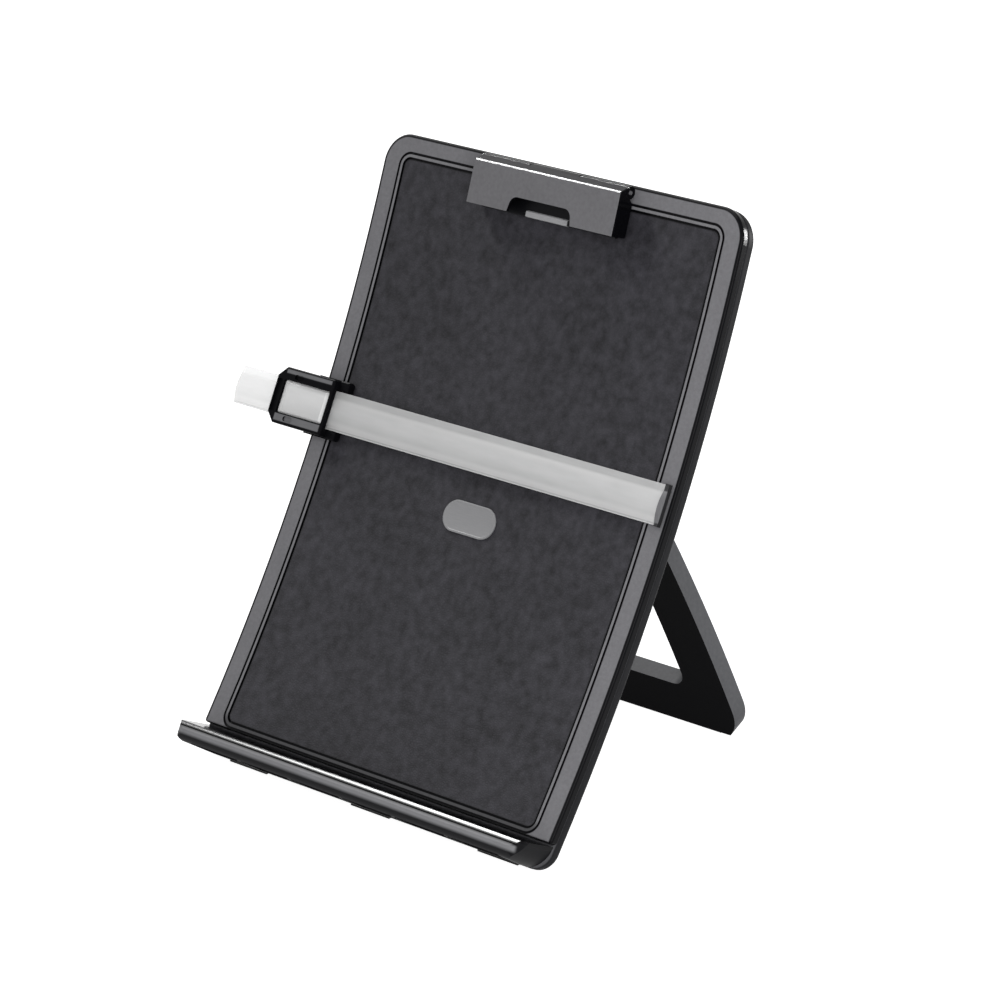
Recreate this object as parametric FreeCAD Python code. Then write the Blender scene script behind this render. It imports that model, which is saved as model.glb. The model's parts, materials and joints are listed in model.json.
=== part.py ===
import FreeCAD, Part
import math
import os

from FreeCAD import Placement, Rotation, Vector

# A desk copy holder: a bowed board that leans back on a folding leg, with a paper ledge, a sprung
# clip on its top edge, and a line guide whose carriage runs up and down the left edge.
# Millimetres. X runs to the reader's right, Y away from the reader, Z up. The origin is on the
# desk, under the middle of the board's bottom edge.
# Pieces are drawn on the board stood upright, or flat on a tangent of its face, and leaned at the end.

# Sheet, as wide and high as A4 paper, and the rim beside and above it
sheet_width = 210.0
sheet_height = 298.8
rim_side = 13.0
rim_top = 10.6

# Board
face_radius = 1050.0
lean_angle = 26.0
corner_radius = 15.5
frame_depth = 4.0
shell_depth = 6.8
skirt_drop = 15.0
skirt_corner_radius = 10.0
frame_overhang = 1.0
frame_foot_radius = 1.5
frame_edge_round = 1.3
shell_front_round = 1.6
shell_back_round = 3.0
shell_wall = 3.0
shell_rib = 2.0
pocket_depth = 4.6
pocket_columns = 4
pocket_rows = 6
shell_screw_inset = 31.1

# Raised line round the sheet
bead_width = 1.6
bead_corner_radius = 5.5
groove_width = 1.0
groove_depth = 0.7
panel_thickness = 1.2
panel_drop = 0.3

badge_length = 34.0
badge_height = 16.0
badge_thickness = 0.8
badge_centre_height = 134.9

# Paper ledge
ledge_end_gap = 1.0
ledge_reach = 21.1
ledge_crest_drop = 3.0
ledge_crest_set = 2.3
ledge_crest_bulge = 0.15
ledge_step_drop = 1.8
ledge_step_set = 1.1
ledge_groove_width = 0.6
ledge_groove_depth = 0.5
ledge_nose_drop = 9.3
ledge_heel_drop = 12.9
ledge_heel_set = 3.4
ledge_end_radius = 7.0
ledge_low_radius = 12.5
ledge_wall = 2.0
ledge_rib = 2.4
ledge_cells = 6
ledge_gap = 0.3

# Clip
clip_hinge_inset = 2.7
clip_hinge_rise = 3.9
clip_width = 96.0
clip_front_rise = 11.3
clip_length = 22.2
clip_wall = 1.8
clip_top_round = 2.0
clip_brow_drop = 0.6
clip_roof_rise = 3.1
clip_roof_back = 0.6
clip_cavity_rise = 0.4
clip_side_drop = 5.4
clip_side_round = 1.0
clip_back_gap = 1.0
knuckle_radius = 3.2
knuckle_half = 16.0
barrel_gap = 0.6
clip_pin_radius = 1.25
clip_pin_inset = 0.4
pin_chamfer = 0.3
notch_half_low = 21.3
notch_half_high = 19.2
notch_height = 7.8
notch_radius = 4.5
jaw_end_gap = 4.0
jaw_thickness = 2.2
jaw_drop = 0.8
jaw_height = 15.0
jaw_lip_half = 13.8
jaw_lip_height = 2.9
jaw_lip_rise = 1.2
jaw_lip_set = 0.2
jaw_edge_round = 0.5
jaw_post_inset = 13.2
jaw_post_half = 3.5
jaw_post_margin = 3.0
grip_thickness = 1.0
grip_height = 5.0
grip_inset = 2.0
grip_set = 0.5
grip_round = 0.4

# Clip spring
spring_wire = 0.8
spring_coil_radius = 2.1
spring_turns = 5
spring_pitch = 1.5
spring_leg_drop = 14.0
spring_leg_start = 0.2

# Line guide
guide_height = 167.6
bar_half_height = 10.0
bar_overhang = 54.0
bar_end_inset = 3.3
bar_rise = 2.7
bar_edge = 1.6
bar_crown = 3.2
bar_flange = 3.0
bar_lip = 0.8
cap_wall = 0.5
cap_thickness = 1.8
cap_grip = 0.6
carriage_overhang = 25.2
carriage_over_rim = 14.0
carriage_top = 15.0
carriage_bottom = 14.2
carriage_rise = 9.0
carriage_chamfer = 5.0
carriage_left_wall = 5.4
carriage_right_wall = 1.5
carriage_corner_round = 1.0
carriage_edge_round = 0.8
window_bevel = 3.0
window_edge = 0.9
window_drop = 0.6
window_corner_round = 1.0
window_half_height = 8.5
window_seat = 0.8
window_flange = 0.9
end_dip_half = 1.9
end_dip_depth = 1.2
end_dip_round = 1.8
end_dip_low_round = 0.5
dimple_place = 15.0
dimple_set = 2.4
dimple_half_long = 3.2
dimple_half_tall = 1.3
dimple_depth = 1.0
clamp_plate = 2.0
clamp_overhang = 14.5
clamp_over_rim = 20.0
clamp_side = 3.0
clamp_proud = 0.6
clamp_corner_round = 2.0
clamp_screw_depth = 8.0
lug_width = 9.5
lug_rise = 5.0
lug_round = 1.0
jaw_plate = 2.4
jaw_corner_round = 3.0
jaw_outer_round = 0.5
jaw_rim_round = 0.8
jaw_over_rim = 22.0
jaw_half_height = 12.0
leaf_thickness = 0.3
leaf_inset = 4.0
leaf_pocket_depth = 1.2

# Leg
leg_hinge_height = 206.5
leg_thickness = 9.3
leg_fold_gap = 1.0
leg_open_angle = 52.9
leg_top_half = 39.8
leg_foot_half = 71.6
leg_strut = 27.0
leg_crossbar = 28.0
leg_head = 40.0
leg_shoulder = 6.0
leg_shoulder_round = 4.0
leg_wall = 2.2
leg_rib = 1.8
leg_ribs = 5
leg_hollow_depth = 6.3
leg_hollow_top = 13.0
leg_foot_solid = 12.0
leg_heel = 6.9
leg_heel_round = 4.0
leg_heel_stop = 0.3
leg_foot_radius = 18.0
leg_window_radius = 8.0
leg_pin_radius = 2.0
leg_pin_proud = 0.5
leg_pin_head = 1.2
leg_washer = 1.1
leg_washer_width = 2.2
bracket_ear = 5.0
bracket_ear_radius = 5.3
bracket_flange = 2.0
bracket_length = 17.0
bracket_half_height = 9.0
bracket_corner_round = 3.0
bracket_screw_inset = 4.0

# Feet and fastenings
pad_rise = 0.6
pad_sunk = 2.0
board_pad = (26.0, 3.2)
board_pad_inset = 33.0
leg_pad = (112.0, 5.0)
leg_pad_inset = 0.8
screw_shank = 1.2
screw_head = 2.6
screw_head_height = 1.5
screw_head_chamfer = 0.7
pilot_radius = 0.95
small_head = 1.5
small_head_height = 1.0

# Clearances
fit = 0.05
slide_gap = 0.3
side_gap = 0.2

# Worked out from the sizes above
board_width = sheet_width + 2 * rim_side
board_chord = bead_width + sheet_height + rim_top
half_width = board_width / 2
ledge_width = board_width - 2 * ledge_end_gap
clip_hinge_height = board_chord - clip_hinge_inset
jaw_half = clip_width / 2 - jaw_end_gap
bar_left = -half_width - bar_overhang
bar_right = half_width - bar_end_inset
carriage_left = -half_width - carriage_overhang
carriage_right = carriage_over_rim - half_width
window_left = carriage_left + carriage_left_wall
clamp_plate_left = -half_width - clamp_overhang
clamp_right = clamp_over_rim - half_width
jaw_right = jaw_over_rim - half_width
board_depth = frame_depth + shell_depth
half_chord = board_chord / 2
face_sag = face_radius - math.sqrt(face_radius ** 2 - half_chord ** 2)
arc_centre_y = face_sag - face_radius
half_arc = math.asin(half_chord / face_radius)
bead_half = sheet_width / 2 + bead_width / 2 - groove_width / 2
bead_low = bead_width
bead_high = bead_low + sheet_height
far = 400.0
band_half = 280.0
along_x = Vector(1, 0, 0)


def arc_angle(height):
    """Angle at which the face's arc passes a height measured along it from the frame's foot."""
    return height / face_radius - half_arc


def on_board(height, depth):
    """Place a piece drawn flat, with Y into the board, on the board's arc."""
    angle = arc_angle(height)
    reach = face_radius + depth
    spot = Vector(0, arc_centre_y + reach * math.cos(angle), half_chord + reach * math.sin(angle))
    return Placement(spot, Rotation(along_x, math.degrees(angle)))


def placed(shape, where):
    """A copy of a shape, moved from its own frame into the frame that holds it."""
    copy = shape.copy()
    copy.Placement = where.multiply(copy.Placement)
    return copy


def rounded_wire(corners):
    """Close a wire through corners, each a point and the radius that rounds it."""
    count = len(corners)
    bends = []
    for index in range(count):
        here, radius = corners[index]
        before = (corners[index - 1][0] - here).normalize()
        after = (corners[(index + 1) % count][0] - here).normalize()
        if radius > 0:
            half = before.getAngle(after) / 2
            start = here + before * (radius / math.tan(half))
            end = here + after * (radius / math.tan(half))
            middle = here + (before + after).normalize() * (radius / math.sin(half) - radius)
            bends.append((start, end, Part.Arc(start, middle, end).toShape()))
        else:
            bends.append((here, here, None))
    edges = []
    for index in range(count):
        bend_start, bend_end, arc = bends[index]
        if arc is not None:
            edges.append(arc)
        following = bends[(index + 1) % count][0]
        if (following - bend_end).Length > fit / 10:
            edges.append(Part.makeLine(bend_end, following))
    return Part.Wire(edges)


def prism(corners, push):
    """Solid made by pushing a rounded outline along a vector."""
    return Part.Face(rounded_wire(corners)).extrude(push)


def front_outline(half, low, high, top_radius, low_radius):
    """Solid with a rounded rectangle as seen from the front, reaching right through the board."""
    corners = [
        (Vector(-half, -far / 4, low), low_radius),
        (Vector(half, -far / 4, low), low_radius),
        (Vector(half, -far / 4, high), top_radius),
        (Vector(-half, -far / 4, high), top_radius),
    ]
    return prism(corners, Vector(0, far / 2, 0))


def arc_band(front, back, half, radius=face_radius, centre_y=arc_centre_y, centre_z=half_chord):
    """Bowed slab between two depths behind the face, longer than the board."""
    reach = band_half / face_radius

    def rim(depth, angle):
        size = radius + depth
        return Vector(-half, centre_y + size * math.cos(angle), centre_z + size * math.sin(angle))

    near_arc = Part.Arc(rim(front, -reach), rim(front, 0), rim(front, reach)).toShape()
    far_arc = Part.Arc(rim(back, -reach), rim(back, 0), rim(back, reach)).toShape()
    low_end = Part.makeLine(rim(front, -reach), rim(back, -reach))
    high_end = Part.makeLine(rim(front, reach), rim(back, reach))
    section = Part.Wire(Part.__sortEdges__([near_arc, high_end, far_arc, low_end]))
    return Part.Face(section).extrude(Vector(2 * half, 0, 0))


def rim_edges(shape, depth):
    """Edges of a bowed piece that lie all along one depth behind the face."""
    found = []
    for edge in shape.Edges:
        first, last = edge.ParameterRange
        spots = [edge.valueAt(first + (last - first) * share) for share in (0, 0.3, 0.7, 1)]
        misses = [
            abs(math.hypot(spot.y - arc_centre_y, spot.z - half_chord) - face_radius - depth)
            for spot in spots
        ]
        if max(misses) < fit / 10:
            found.append(edge)
    return found


def box(x_range, y_range, z_range):
    size = [high - low for low, high in (x_range, y_range, z_range)]
    return Part.makeBox(*size, Vector(x_range[0], y_range[0], z_range[0]))


def rod(radius, x_from, x_to, y=0.0, z=0.0):
    """Cylinder that lies along X."""
    return Part.makeCylinder(radius, x_to - x_from, Vector(x_from, y, z), along_x)


def screw(length):
    """Pan head screw along Y: the head's seat at Y = 0, the shank into +Y."""
    head = Part.makeCylinder(screw_head, screw_head_height, Vector(0, -screw_head_height, 0), Vector(0, 1, 0))
    rim = [edge for edge in head.Edges if abs(edge.CenterOfMass.y + screw_head_height) < fit]
    head = head.makeChamfer(screw_head_chamfer, rim)
    shank = Part.makeCylinder(screw_shank, length, Vector(0, 0, 0), Vector(0, 1, 0))
    return head.fuse(shank).removeSplitter()


# Leaning the upright board: its lowest edge comes down to a foot pad's rise above the desk.
lean = Rotation(along_x, -lean_angle)
skirt_sink = math.sqrt((face_radius + board_depth) ** 2 - (half_chord + skirt_drop) ** 2)
skirt_heel = Vector(0, arc_centre_y + skirt_sink - shell_back_round, shell_back_round - skirt_drop)
leaned_heel = lean.multVec(skirt_heel)
standing = Placement(Vector(0, -leaned_heel.y, pad_rise + shell_back_round - leaned_heel.z), lean)


def frame_blank():
    slab = arc_band(0, frame_depth, board_width)
    outline = front_outline(half_width, -frame_overhang, board_chord, corner_radius, frame_foot_radius)
    blank = slab.common(outline)
    return blank.makeFillet(frame_edge_round, rim_edges(blank, 0))


def ring_inside(offset):
    """Outline parallel to the raised line's middle, larger by the offset."""
    radius = bead_corner_radius + offset
    return front_outline(bead_half + offset, bead_low - offset, bead_high + offset, radius, radius)


def shell_screw_places():
    """Both side rims, three screws each, clear of the ledge and of the clip."""
    rim_x = (half_width + bead_half) / 2
    heights = (shell_screw_inset, half_chord, board_chord - shell_screw_inset)
    return [(side * rim_x, height) for side in (-1, 1) for height in heights]


def front_frame():
    frame = frame_blank()
    recess = arc_band(-far / 8, panel_drop + panel_thickness, board_width)
    frame = frame.cut(recess.common(ring_inside(-bead_width / 2)))
    shallow = arc_band(-far / 8, groove_depth, board_width)
    outer_groove = ring_inside(bead_width / 2 + groove_width).cut(ring_inside(bead_width / 2))
    frame = frame.cut(shallow.common(outer_groove))
    for x, height in shell_screw_places():
        pilot = screw_shank + fit
        hole = Part.makeCylinder(pilot, frame_depth, Vector(x, frame_depth / 2, 0), Vector(0, 1, 0))
        frame = frame.cut(placed(hole, on_board(height, 0)))
    return frame.fuse(clip_knuckle()).removeSplitter()


def texture_panel():
    sheet = arc_band(panel_drop, panel_drop + panel_thickness, board_width)
    return sheet.common(ring_inside(-bead_width / 2 - groove_width))


def badge_plate():
    front = panel_drop - badge_thickness
    rise = half_chord + face_radius * math.sin(arc_angle(badge_centre_height))
    half_tall = badge_height / 2
    corners = [
        (Vector(side_x * badge_length / 2, -far / 8, rise + side_z * half_tall), half_tall - fit)
        for side_x, side_z in ((-1, -1), (1, -1), (1, 1), (-1, 1))
    ]
    return arc_band(front, panel_drop, board_width).common(prism(corners, Vector(0, far / 4, 0)))


def shell_pockets():
    """Cells moulded into the shell's front, with ribs left between them."""
    inner_half = bead_half - bead_width
    cell_width = (2 * inner_half + shell_rib) / pocket_columns - shell_rib
    inner_low = shell_wall
    cell_height = (board_chord - 2 * shell_wall - corner_radius + shell_rib) / pocket_rows - shell_rib
    cells = []
    for column in range(pocket_columns):
        left = -inner_half + column * (cell_width + shell_rib)
        for row in range(pocket_rows):
            low = inner_low + row * (cell_height + shell_rib)
            cells.append(box((left, left + cell_width), (-far / 8, far / 8), (low, low + cell_height)))
    depth = arc_band(0, frame_depth + pocket_depth, board_width)
    return depth.common(Part.makeCompound(cells))


def back_shell():
    slab = arc_band(frame_depth, board_depth, board_width)
    outline = front_outline(half_width, -skirt_drop, board_chord, corner_radius, skirt_corner_radius)
    shell = slab.common(outline)
    shell = shell.makeFillet(shell_back_round, rim_edges(shell, board_depth))
    shell = shell.makeFillet(shell_front_round, rim_edges(shell, frame_depth))
    shell = shell.cut(shell_pockets())
    for x, height in shell_screw_places():
        where = on_board(height, board_depth)
        sink = screw_head_height + slide_gap
        seat = Part.makeCylinder(screw_head + slide_gap, far, Vector(x, -sink, 0), Vector(0, 1, 0))
        bore = Part.makeCylinder(screw_shank + fit, far, Vector(x, -far / 2, 0), Vector(0, 1, 0))
        shell = shell.cut(placed(seat, where)).cut(placed(bore, where))
    for x, z in bracket_screw_places():
        depth = bracket_screw_length() + slide_gap
        bore = Part.makeCylinder(screw_shank + fit, depth, Vector(x, -depth, z), Vector(0, 1, 0))
        shell = shell.cut(placed(bore, on_board(leg_hinge_height, board_depth)))
    shell = placed(shell, standing)
    for pad in board_pads():
        shell = shell.cut(pad)
    return shell


def shell_screws():
    sink = screw_head_height + slide_gap
    length = board_depth - sink - frame_depth / 2 - slide_gap
    body = placed(screw(length), Placement(Vector(), Rotation(Vector(0, 0, 1), 180)))
    return [
        placed(placed(body, Placement(Vector(x, -sink, 0), Rotation())), on_board(height, board_depth))
        for x, height in shell_screw_places()
    ]


def board_pads():
    """Rubber pads let into the shell's lowest edge, drawn as they stand."""
    length, width = board_pad
    top = pad_rise + pad_sunk
    return [
        box((x - length / 2, x + length / 2), (-width / 2, width / 2), (0, top))
        for x in (board_pad_inset - half_width, 0, half_width - board_pad_inset)
    ]


def bulged(start, end, bulge):
    """Point that stands out from the middle of a line by a bulge, for an arc through it."""
    span = end - start
    outward = Vector(0, span.z, -span.y).normalize()
    return (start + end) / 2 + outward * bulge


def ledge_profile(inset):
    """Side view of the ledge: top, rolled lip and underside, drawn inwards by the inset."""

    def spot(y, z):
        return Vector(-ledge_width / 2, y, z)

    front = inset - ledge_reach
    back = frame_depth + corner_radius
    crest = spot(front + ledge_crest_set, -ledge_crest_drop - inset)
    step = spot(front + ledge_step_set, -ledge_crest_drop - ledge_step_drop - inset)
    nose = spot(front, -ledge_nose_drop)
    heel = spot(front + ledge_heel_set, inset - ledge_heel_drop)
    floor = inset + ledge_gap - skirt_drop
    top_back = spot(back, -frame_overhang - ledge_gap - inset)
    floor_back = spot(back, floor)
    floor_front = spot(0, floor)
    edges = [
        Part.makeLine(top_back, crest),
        Part.Arc(crest, bulged(crest, step, ledge_crest_bulge), step).toShape(),
        Part.Arc(step, nose, heel).toShape(),
        Part.makeLine(heel, floor_front),
        Part.makeLine(floor_front, floor_back),
        Part.makeLine(floor_back, top_back),
    ]
    return Part.Face(Part.Wire(edges)).extrude(Vector(ledge_width, 0, 0))


def ledge_groove():
    """Fine groove along the lip, between its bevel and its rolled nose."""
    front = -ledge_reach
    high = -ledge_crest_drop - ledge_step_drop
    deep = front + ledge_step_set + ledge_groove_depth
    return box((-ledge_width, ledge_width), (front - fit, deep), (high - ledge_groove_width, high))


def paper_ledge():
    half = ledge_width / 2
    plan = [
        (Vector(-half, far / 8, -far / 8), 0),
        (Vector(half, far / 8, -far / 8), 0),
        (Vector(half, -ledge_reach, -far / 8), ledge_end_radius),
        (Vector(-half, -ledge_reach, -far / 8), ledge_end_radius),
    ]
    face = front_outline(half, -skirt_drop, board_chord, 0, ledge_low_radius)
    ledge = ledge_profile(0).common(prism(plan, Vector(0, 0, far / 4))).common(face)
    ledge = ledge.cut(ledge_groove())
    cells_left = ledge_low_radius - half
    cell = (-2 * cells_left + ledge_rib) / ledge_cells - ledge_rib
    hollow = ledge_profile(ledge_wall)
    opened = []
    for index in range(ledge_cells):
        left = cells_left + index * (cell + ledge_rib)
        opened.append(box((left, left + cell), (-ledge_reach, -ledge_wall), (-far / 8, far / 8)))
    cells = hollow.common(Part.makeCompound(opened))
    below = placed(cells, Placement(Vector(0, 0, -ledge_wall - ledge_gap), Rotation()))
    ledge = ledge.cut(cells.fuse(below))
    return ledge.cut(arc_band(frame_depth, far / 8, board_width))


def clip_place():
    return on_board(clip_hinge_height, -clip_hinge_rise)


def clip_knuckle():
    """The frame's hinge knuckle on the top edge, between the cover's two barrels; it houses the spring."""
    left, right = -knuckle_half, knuckle_half
    web_back = clip_hinge_rise + frame_depth / 2
    web = box((left, right), (0, web_back), (-knuckle_radius, knuckle_radius))
    knuckle = rod(knuckle_radius, left, right).fuse(web)
    knuckle = knuckle.cut(rod(clip_pin_radius + fit, left, right)).cut(spring_housing())
    return placed(knuckle, clip_place())


def spring_half_length():
    return (spring_turns + 0.25) * spring_pitch / 2


def spring_housing():
    """Room in the middle knuckle for the coil, its lower leg and its back leg."""
    half = spring_half_length() + spring_wire
    room = rod(spring_coil_radius + spring_wire / 2 + side_gap, -half, half)
    open_low = box((-half, half), (-far, 0), (-far, 0))
    tail = spring_half_length() + spring_wire / 2 + side_gap
    slot_half = spring_wire / 2 + side_gap
    slot = box(
        (-tail, -tail + 2 * slot_half),
        (0, clip_hinge_rise + slot_half),
        (spring_coil_radius - slot_half, spring_coil_radius + slot_half),
    )
    return room.fuse(open_low).fuse(slot)


def cover_side():
    """Side view of the clip's cover: front, rounded top edge, roof and open back."""
    front = clip_hinge_rise - clip_front_rise
    back = clip_hinge_rise - clip_back_gap
    low = -clip_length
    left = -clip_width / 2
    return [
        (Vector(left, front, low), 0),
        (Vector(left, front, -clip_brow_drop), clip_top_round),
        (Vector(left, -knuckle_radius / 3, clip_roof_rise - 2 * fit), 0),
        (Vector(left, clip_roof_back, clip_roof_rise), 0),
        (Vector(left, clip_roof_back, -knuckle_radius - side_gap), 0),
        (Vector(left, back, -clip_side_drop), clip_side_round),
        (Vector(left, back, low), clip_side_round),
    ]


def clip_cover():
    front = clip_hinge_rise - clip_front_rise
    half = clip_width / 2
    cover = prism(cover_side(), Vector(clip_width, 0, 0))
    ends = [edge for edge in cover.Edges if abs(edge.CenterOfMass.x) > half - fit]
    ends = [edge for edge in ends if edge.CenterOfMass.y < front + clip_top_round]
    cover = cover.makeFillet(clip_wall / 3, ends)
    cavity = [
        (Vector(clip_wall - half, front + clip_wall, -far / 8), 0),
        (Vector(clip_wall - half, front + clip_wall, -clip_wall), clip_wall / 2),
        (Vector(clip_wall - half, -knuckle_radius + clip_wall / 2, clip_cavity_rise), 0),
        (Vector(clip_wall - half, far / 8, clip_cavity_rise), 0),
        (Vector(clip_wall - half, far / 8, -far / 8), 0),
    ]
    cover = cover.cut(prism(cavity, Vector(clip_width - 2 * clip_wall, 0, 0)))
    barrel_inner = knuckle_half + barrel_gap
    for left, right in ((-half, -barrel_inner), (barrel_inner, half)):
        cover = cover.fuse(rod(knuckle_radius, left, right))
    cover = cover.cut(rod(clip_pin_radius + fit, -clip_width, clip_width))
    cover = cover.cut(rod(knuckle_radius + slide_gap, -barrel_inner, barrel_inner))
    notch = [
        (Vector(-notch_half_low, -far / 8, -clip_length - clip_wall), 0),
        (Vector(-notch_half_high, -far / 8, notch_height - clip_length), notch_radius),
        (Vector(notch_half_high, -far / 8, notch_height - clip_length), notch_radius),
        (Vector(notch_half_low, -far / 8, -clip_length - clip_wall), 0),
    ]
    cover = cover.cut(prism(notch, Vector(0, far / 8 + front + clip_wall + fit, 0)))
    return placed(cover.removeSplitter(), clip_place())


def jaw_back():
    """How far behind the pin the jaw's back lies, with the grip pad and the gap behind it."""
    bow = clip_length ** 2 / (2 * face_radius)
    return clip_hinge_rise - bow - slide_gap - grip_thickness


def clip_jaw():
    front = clip_hinge_rise - clip_front_rise + clip_wall
    back = jaw_back()
    face = back - jaw_thickness
    low = -clip_length - jaw_drop
    high = low + jaw_height
    plate = [
        (Vector(-jaw_half, face, low), jaw_edge_round),
        (Vector(-jaw_half, back, low), 0),
        (Vector(-jaw_half, back, high), 0),
        (Vector(-jaw_half, face, high), jaw_edge_round),
    ]
    jaw = prism(plate, Vector(2 * jaw_half, 0, 0))
    lip_low = low + jaw_lip_set
    lip_high = lip_low + jaw_lip_height
    lip = [
        (Vector(-jaw_lip_half, face - jaw_lip_rise, lip_low), jaw_edge_round),
        (Vector(-jaw_lip_half, face + fit, lip_low), 0),
        (Vector(-jaw_lip_half, face + fit, lip_high), 0),
        (Vector(-jaw_lip_half, face - jaw_lip_rise, lip_high), jaw_edge_round),
    ]
    jaw = jaw.fuse(prism(lip, Vector(2 * jaw_lip_half, 0, 0)))
    post_rise = (low + jaw_post_margin, high - jaw_post_margin)
    for x in (jaw_post_inset - jaw_half, jaw_half - jaw_post_inset):
        post = box((x - jaw_post_half, x + jaw_post_half), (front, face + fit), post_rise)
        jaw = jaw.fuse(post)
    return placed(jaw.removeSplitter(), clip_place())


def clip_grip_pad():
    back = jaw_back()
    low = grip_set - clip_length - jaw_drop
    high = low + grip_height
    half = jaw_half - grip_inset
    pad = [
        (Vector(-half, back, low), 0),
        (Vector(-half, back + grip_thickness, low), grip_round),
        (Vector(-half, back + grip_thickness, high), grip_round),
        (Vector(-half, back, high), 0),
    ]
    return placed(prism(pad, Vector(2 * half, 0, 0)), clip_place())


def clip_hinge_pin():
    reach = clip_width / 2 - clip_pin_inset
    pin = rod(clip_pin_radius, -reach, reach)
    return placed(pin.makeChamfer(pin_chamfer, round_ends(pin)), clip_place())


def round_ends(cylinder):
    """The two end circles of a rod that lies along X."""
    ends = (cylinder.BoundBox.XMin, cylinder.BoundBox.XMax)
    return [edge for edge in cylinder.Edges if min(abs(edge.CenterOfMass.x - end) for end in ends) < fit]


def biarc(start, start_way, end, end_way):
    """Two tangent arcs from one point and direction to another."""
    span = end - start
    ways = start_way + end_way
    turn = 2 * (1 - start_way.dot(end_way))
    reach = (math.sqrt(span.dot(ways) ** 2 + turn * span.dot(span)) - span.dot(ways)) / turn
    knee_a = start + start_way * reach
    knee_b = end - end_way * reach
    join = (knee_a + knee_b) / 2
    return [arc_round(start, knee_a, join), arc_round(join, knee_b, end)]


def arc_round(start, knee, end):
    """Arc that touches the two equal sides of a corner at their ends."""
    side = (start - knee).Length
    half = (start - knee).getAngle(end - knee) / 2
    radius = side * math.tan(half)
    toward = ((start - knee) + (end - knee)).normalize()
    middle = knee + toward * (side / math.cos(half) - radius)
    return Part.Arc(start, middle, end).toShape()


def coil_spot(turn):
    """Point and direction on the coil, turning from the top towards the reader."""
    angle = 2 * math.pi * turn
    x = spring_pitch * turn - spring_half_length()
    spot = Vector(x, -spring_coil_radius * math.sin(angle), spring_coil_radius * math.cos(angle))
    rate = 2 * math.pi * spring_coil_radius
    way = Vector(spring_pitch, -rate * math.cos(angle), -rate * math.sin(angle)).normalize()
    return spot, way


def clip_spring():
    """Torsion spring: a tail into the knuckle, the coil, and a leg that bears on the jaw."""
    quarters = 4 * spring_turns + 1
    spots = [coil_spot(index / 4) for index in range(quarters + 1)]
    tail_way = Vector(0, -1, 0)
    leg_foot = Vector(spots[-1][0].x, 0, -spring_leg_drop)
    leg_foot.y = jaw_back() - jaw_thickness - spring_wire / 2 - fit
    leg_lean = math.atan2(leg_foot.y + spring_coil_radius, spring_leg_drop)
    leg_way = Vector(0, math.sin(leg_lean), -math.cos(leg_lean))
    leg_top = leg_foot - leg_way * (spring_leg_drop / math.cos(leg_lean) - spring_leg_start)
    spots[0] = (spots[0][0], tail_way)
    spots[-1] = (leg_top, leg_way)
    edges = [Part.makeLine(spots[0][0] - tail_way * clip_hinge_rise, spots[0][0])]
    for (start, start_way), (end, end_way) in zip(spots, spots[1:]):
        edges.extend(biarc(start, start_way, end, end_way))
    edges.append(Part.makeLine(leg_top, leg_foot))
    path = Part.Wire(edges)
    ring = Part.Circle(spots[0][0] - tail_way * clip_hinge_rise, tail_way, spring_wire / 2)
    section = Part.Wire([ring.toShape()])
    report_least_gap(path)
    return placed(path.makePipeShell([section], True, False), clip_place())


def report_least_gap(path):
    """Print how near the wire comes to itself, past its next half turn."""
    points = path.discretize(Number=400)
    step = path.Length / (len(points) - 1)
    skip = int(math.pi * spring_coil_radius / step)
    least = min(
        points[i].distanceToPoint(points[j])
        for i in range(len(points))
        for j in range(i + skip, len(points))
    )
    print("clip spring, least gap between turns: %.2f mm" % (least - spring_wire))


def guide_place():
    return on_board(guide_height, 0)


def bar_section(x, grow):
    """Side view of the bar: flat back, flat strip along the top, long lens below it."""
    back = -bar_rise + grow
    edge = -bar_rise - bar_edge - grow
    crown = -bar_rise - bar_crown - grow
    high = bar_half_height + grow
    strip = bar_half_height - bar_flange
    lens_low = bar_lip - bar_half_height
    lens_middle = (strip + lens_low) / 2
    spots = [Vector(x, back, -high), Vector(x, back, high), Vector(x, edge, high)]
    spots += [Vector(x, edge, strip), Vector(x, edge, lens_low), Vector(x, edge, -high)]
    lines = [Part.makeLine(spots[i], spots[i + 1]) for i in (0, 1, 2, 4)]
    lens = Part.Arc(spots[3], Vector(x, crown, lens_middle), spots[4]).toShape()
    closing = Part.makeLine(spots[5], spots[0])
    return Part.Face(Part.Wire([lines[0], lines[1], lines[2], lens, lines[3], closing]))


def guide_bar():
    bar = bar_section(bar_left, 0).extrude(Vector(bar_right - bar_left, 0, 0))
    return placed(bar, guide_place())


def bar_end_cap():
    left = bar_right - cap_grip
    cap = bar_section(left, cap_wall).extrude(Vector(cap_grip + cap_thickness, 0, 0))
    outer = [edge for edge in cap.Edges if edge.CenterOfMass.x > left + cap_grip + cap_thickness - fit]
    cap = cap.makeFillet(cap_wall / 2, outer)
    pocket = bar_section(left, 0).extrude(Vector(cap_grip, 0, 0))
    return placed(cap.cut(pocket), guide_place())


def carriage_block():
    """The carriage's block, with its left corners cut off at a slant."""
    left = carriage_left
    slant = carriage_chamfer
    outline = [
        (left + slant, -carriage_bottom),
        (carriage_right, -carriage_bottom),
        (carriage_right, carriage_top),
        (left + slant, carriage_top),
        (left, carriage_top - slant),
        (left, slant - carriage_bottom),
    ]
    corners = [(Vector(x, clamp_front(), z), carriage_corner_round) for x, z in outline]
    return prism(corners, Vector(0, -carriage_rise - clamp_front(), 0))


def clamp_front():
    """Depth of the clamp plate's front, on which the carriage's frame sits."""
    return -slide_gap - clamp_plate


def lens_front():
    return -bar_rise - bar_crown - slide_gap


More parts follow.
